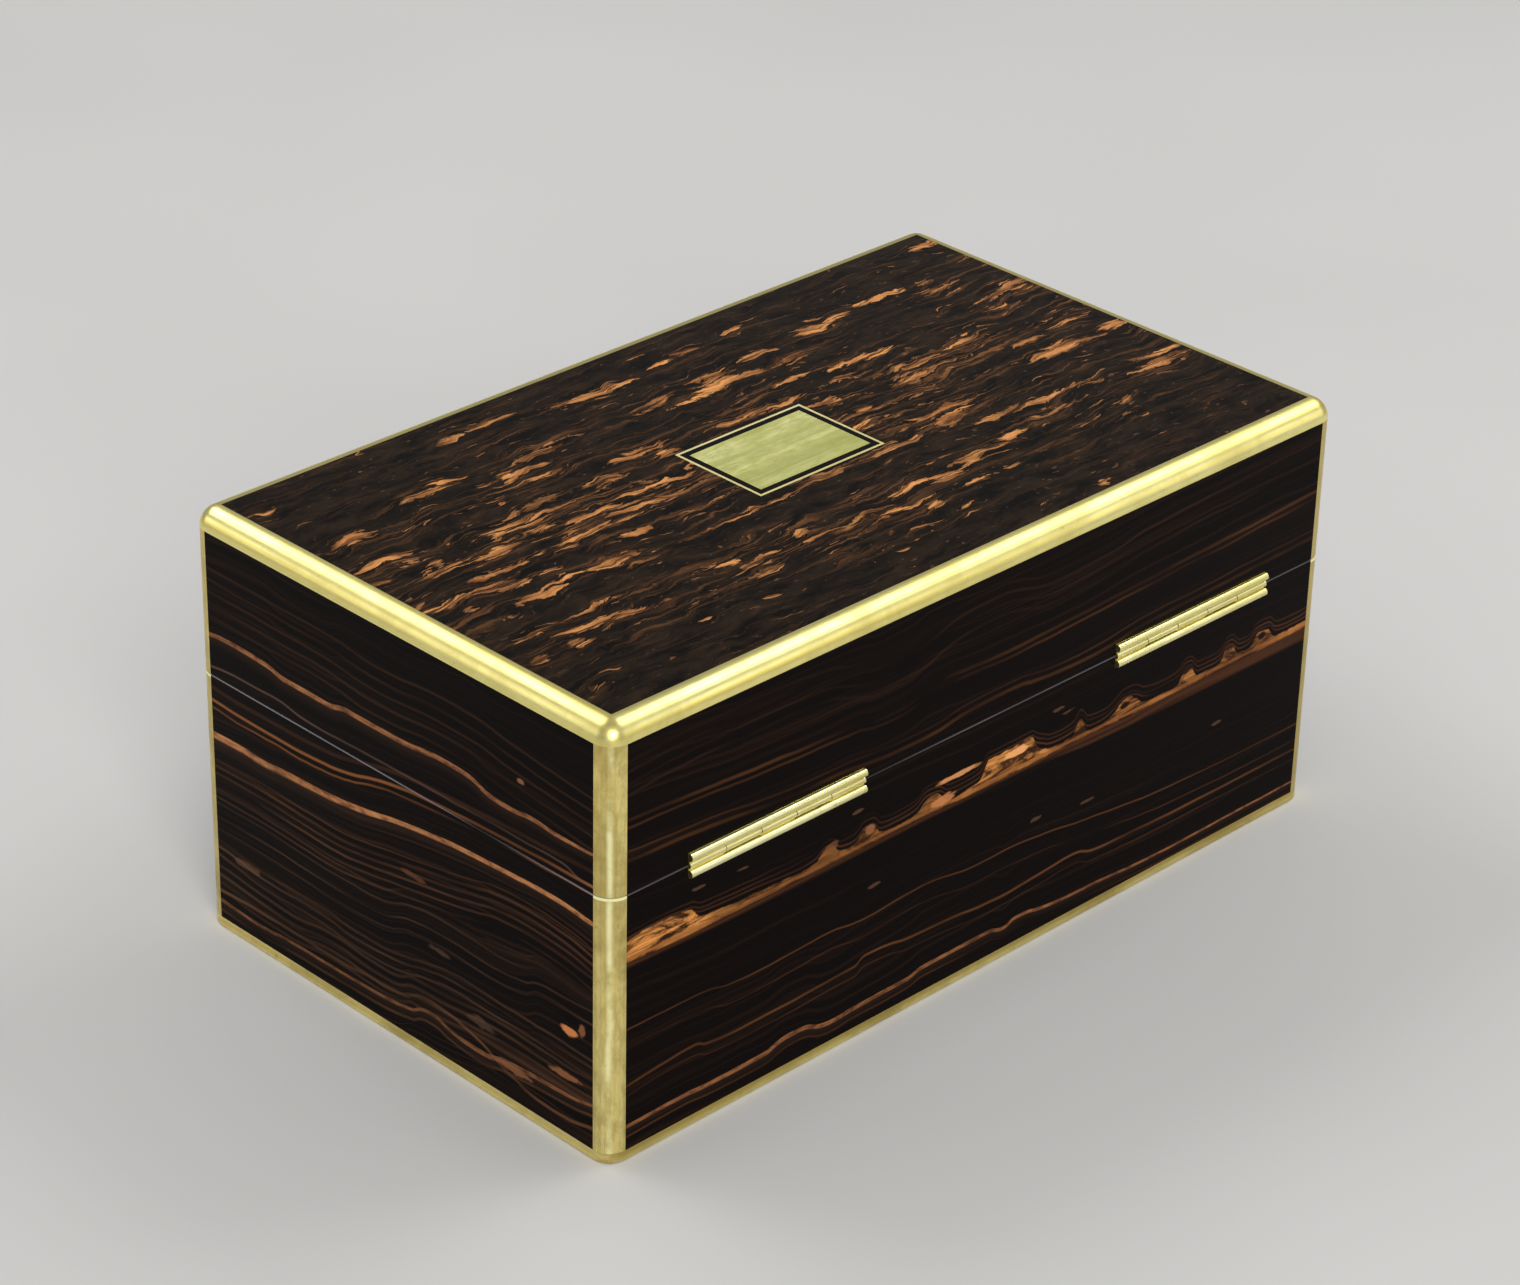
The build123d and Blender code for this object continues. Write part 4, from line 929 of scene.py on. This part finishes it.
def lid_panel(bm):
    """Padded lid panel: sewn channels running front to back."""
    per = 10
    nx, ny = CHANNELS * per, 56
    grid = []
    for i in range(nx + 1):
        row = []
        u = i / per
        f = abs((u - math.floor(u)) - 0.5) * 2
        for j in range(ny + 1):
            b = 2 * j / ny - 1
            end = max(0.0, 1 - max(0.0, abs(b) - 0.86) / 0.14)
            end = math.sin(end * math.pi / 2)
            crown = math.sqrt(max(0.0, 1 - f ** 2.2)) * end
            y = b * PANEL_Y
            x = -PANEL_X + 2 * PANEL_X * i / nx
            pucker = 0.22 * noise.noise(Vector((x * 0.35, y * 0.28, 3.0))) * f * (1 - f ** 8) * end
            seam = SEAM_Z + (RIM_Z - SEAM_Z) * (1 - end)
            z = seam - (seam - CROWN_Z) * crown + max(0.0, pucker)
            draw = 0.35 * (1 - f * f) * (abs(b) ** 12)
            row.append(bm.verts.new((x * MM, (y - math.copysign(draw, b)) * MM, z * MM)))
        grid.append(row)
    for i in range(nx):
        for j in range(ny):
            bm.faces.new([grid[i][j], grid[i + 1][j], grid[i + 1][j + 1], grid[i][j + 1]])
    edges = [e for e in bm.edges if e.is_boundary]
    out = bmesh.ops.extrude_edge_only(bm, edges=edges)
    for v in out["geom"]:
        if isinstance(v, bmesh.types.BMVert):
            v.co.z = BACK_Z * MM
    rest = [e for e in bm.edges if e.is_boundary]
    bmesh.ops.holes_fill(bm, edges=rest)


bm = bmesh.new()
lid_panel(bm)
panel = new_piece("lid_quilted_panel", bm, "silk", "lid")
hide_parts("lid_pad")


def stitch(bm, x, y):
    """One stitch: a short arched thread along Y, dipping back into the cloth at both ends."""
    steps, half_wide, thick, long, arch = 5, 0.16, 0.3, 1.9, 0.4
    rings = []
    for d in range(steps + 1):
        t = d / steps
        z = SEAM_Z + 0.05 - arch * math.sin(math.pi * t)
        corners = ((-half_wide, z), (-half_wide, z - thick), (half_wide, z - thick), (half_wide, z))
        rings.append([bm.verts.new(((x + s) * MM, (y + long * t) * MM, h * MM)) for s, h in corners])
    for a, b in zip(rings, rings[1:]):
        for i in range(4):
            j = (i + 1) % 4
            bm.faces.new([a[i], a[j], b[j], b[i]])
    bm.faces.new(rings[0])
    bm.faces.new(rings[-1])


bm = bmesh.new()
for c in range(1, CHANNELS):
    y = -SEWN_Y
    while y < SEWN_Y:
        stitch(bm, -PANEL_X + c * 2 * PANEL_X / CHANNELS, y)
        y += 3.1
new_piece("lid_panel_stitches", bm, "ribbon", "lid")


def lift_tabs(bm):
    """Two ribbon tabs: a doubled ribbon with a soft loop at the top."""
    outer, inner = TRAY_X, TRAY_X - 0.8
    half_wide, loop_z, n = 7.0, 86, 14
    profile = [(outer - 0.02, 60.0), (outer - 0.02, 66), (outer - 0.03, 74), (outer - 0.03, 82),
               (outer - 0.06, 86.2), (outer - 0.18, 87.0), (outer - 0.4, 87.4), (inner + 0.2, 87.0),
               (inner + 0.06, 86.2), (inner + 0.03, 82), (inner + 0.03, 74), (inner + 0.03, 66),
               (inner + 0.02, 60.0)]
    for s in (-1, 1):
        rows = []
        for j in range(n + 1):
            b = 2 * j / n - 1
            y = half_wide * b
            sag = 0.25 * b * b
            rows.append([bm.verts.new((s * x * MM, y * MM, (z - (sag if z > loop_z else 0)) * MM))
                         for x, z in profile])
        m = len(profile)
        for j in range(n):
            for i in range(m - 1):
                bm.faces.new([rows[j][i], rows[j][i + 1], rows[j + 1][i + 1], rows[j + 1][i]])
            bm.faces.new([rows[j][m - 1], rows[j][0], rows[j + 1][0], rows[j + 1][m - 1]])
        bm.faces.new(rows[0])
        bm.faces.new(rows[-1])


bm = bmesh.new()
lift_tabs(bm)
tabs = new_piece("tray_ribbon_tabs", bm, "ribbon", "tray")
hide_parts("tray_lift_tabs")


def stage():
    mesh = bpy.data.meshes.new("floor")
    radius, sides = 6, 64
    turns = [2 * math.pi * t / sides for t in range(sides)]
    mesh.from_pydata([(radius * math.cos(a), radius * math.sin(a), 0) for a in turns], [],
                     [list(range(sides))])
    floor = put("floor", mesh)
    p = Paint("pale_floor")
    drift = p.span(p.noise(p.stretch(3, 3, 3), detail=2), 0.3, 0.7)
    tone = p.mix(drift, rgb(206, 205, 203), rgb(212, 211, 209))
    mesh.materials.append(p.set(color=tone, rough=0.9, specular=0.1))


def lamp(name, place, aim, size, watts):
    data = bpy.data.lights.new(name, "AREA")
    data.shape = "RECTANGLE"
    data.size, data.size_y = size
    data.energy = watts
    light = put(name, data)
    light.location = place
    light.rotation_euler = (Vector(aim) - Vector(place)).to_track_quat("-Z", "Y").to_euler()


def studio():
    world = bpy.data.worlds.new("studio")
    bpy.context.scene.world = world
    world.use_nodes = True
    sky = world.node_tree.nodes["Background"]
    sky.inputs["Color"].default_value = (1.0, 1.0, 1.0, 1.0)
    sky.inputs["Strength"].default_value = 0.3
    lamp("key", (1.9, 2.6, 2.1), (0, 0, 0.05), (1.8, 1.8), 78)
    lamp("left_strip", (-1.05, 0.30, 1.35), (0, 0, 0.1), (0.9, 0.62), 8)
    lamp("right_strip", (0.30, -1.05, 1.35), (0, 0, 0.1), (0.9, 0.62), 8)
    lamp("left_fill", (-1.75, 2.05, 0.95), (0, 0, 0.1), (1.7, 1.1), 7)
    lamp("right_fill", (2.05, -1.75, 0.95), (0, 0, 0.1), (1.7, 1.1), 7)


def camera():
    """The photo's camera, solved from the box's own edges."""
    data = bpy.data.cameras.new("camera")
    data.lens = 106.403
    data.sensor_width = 36.0
    data.clip_start = 0.05
    cam = put("camera", data)
    right = Vector((-0.71417294, 0.69970625, 0.01918789))
    down = Vector((0.32471539, 0.35546434, -0.87647306))
    ahead = Vector((-0.62009428, -0.61972274, -0.4810684))
    turn = Matrix((right, -down, -ahead)).transposed()
    cam.matrix_world = Matrix.Translation((0.85666, 0.84936, 0.73784)) @ turn.to_4x4()
    bpy.context.scene.camera = cam


stage()
studio()
camera()
bpy.context.scene.view_settings.view_transform = "Standard"
bpy.context.view_layer.update()
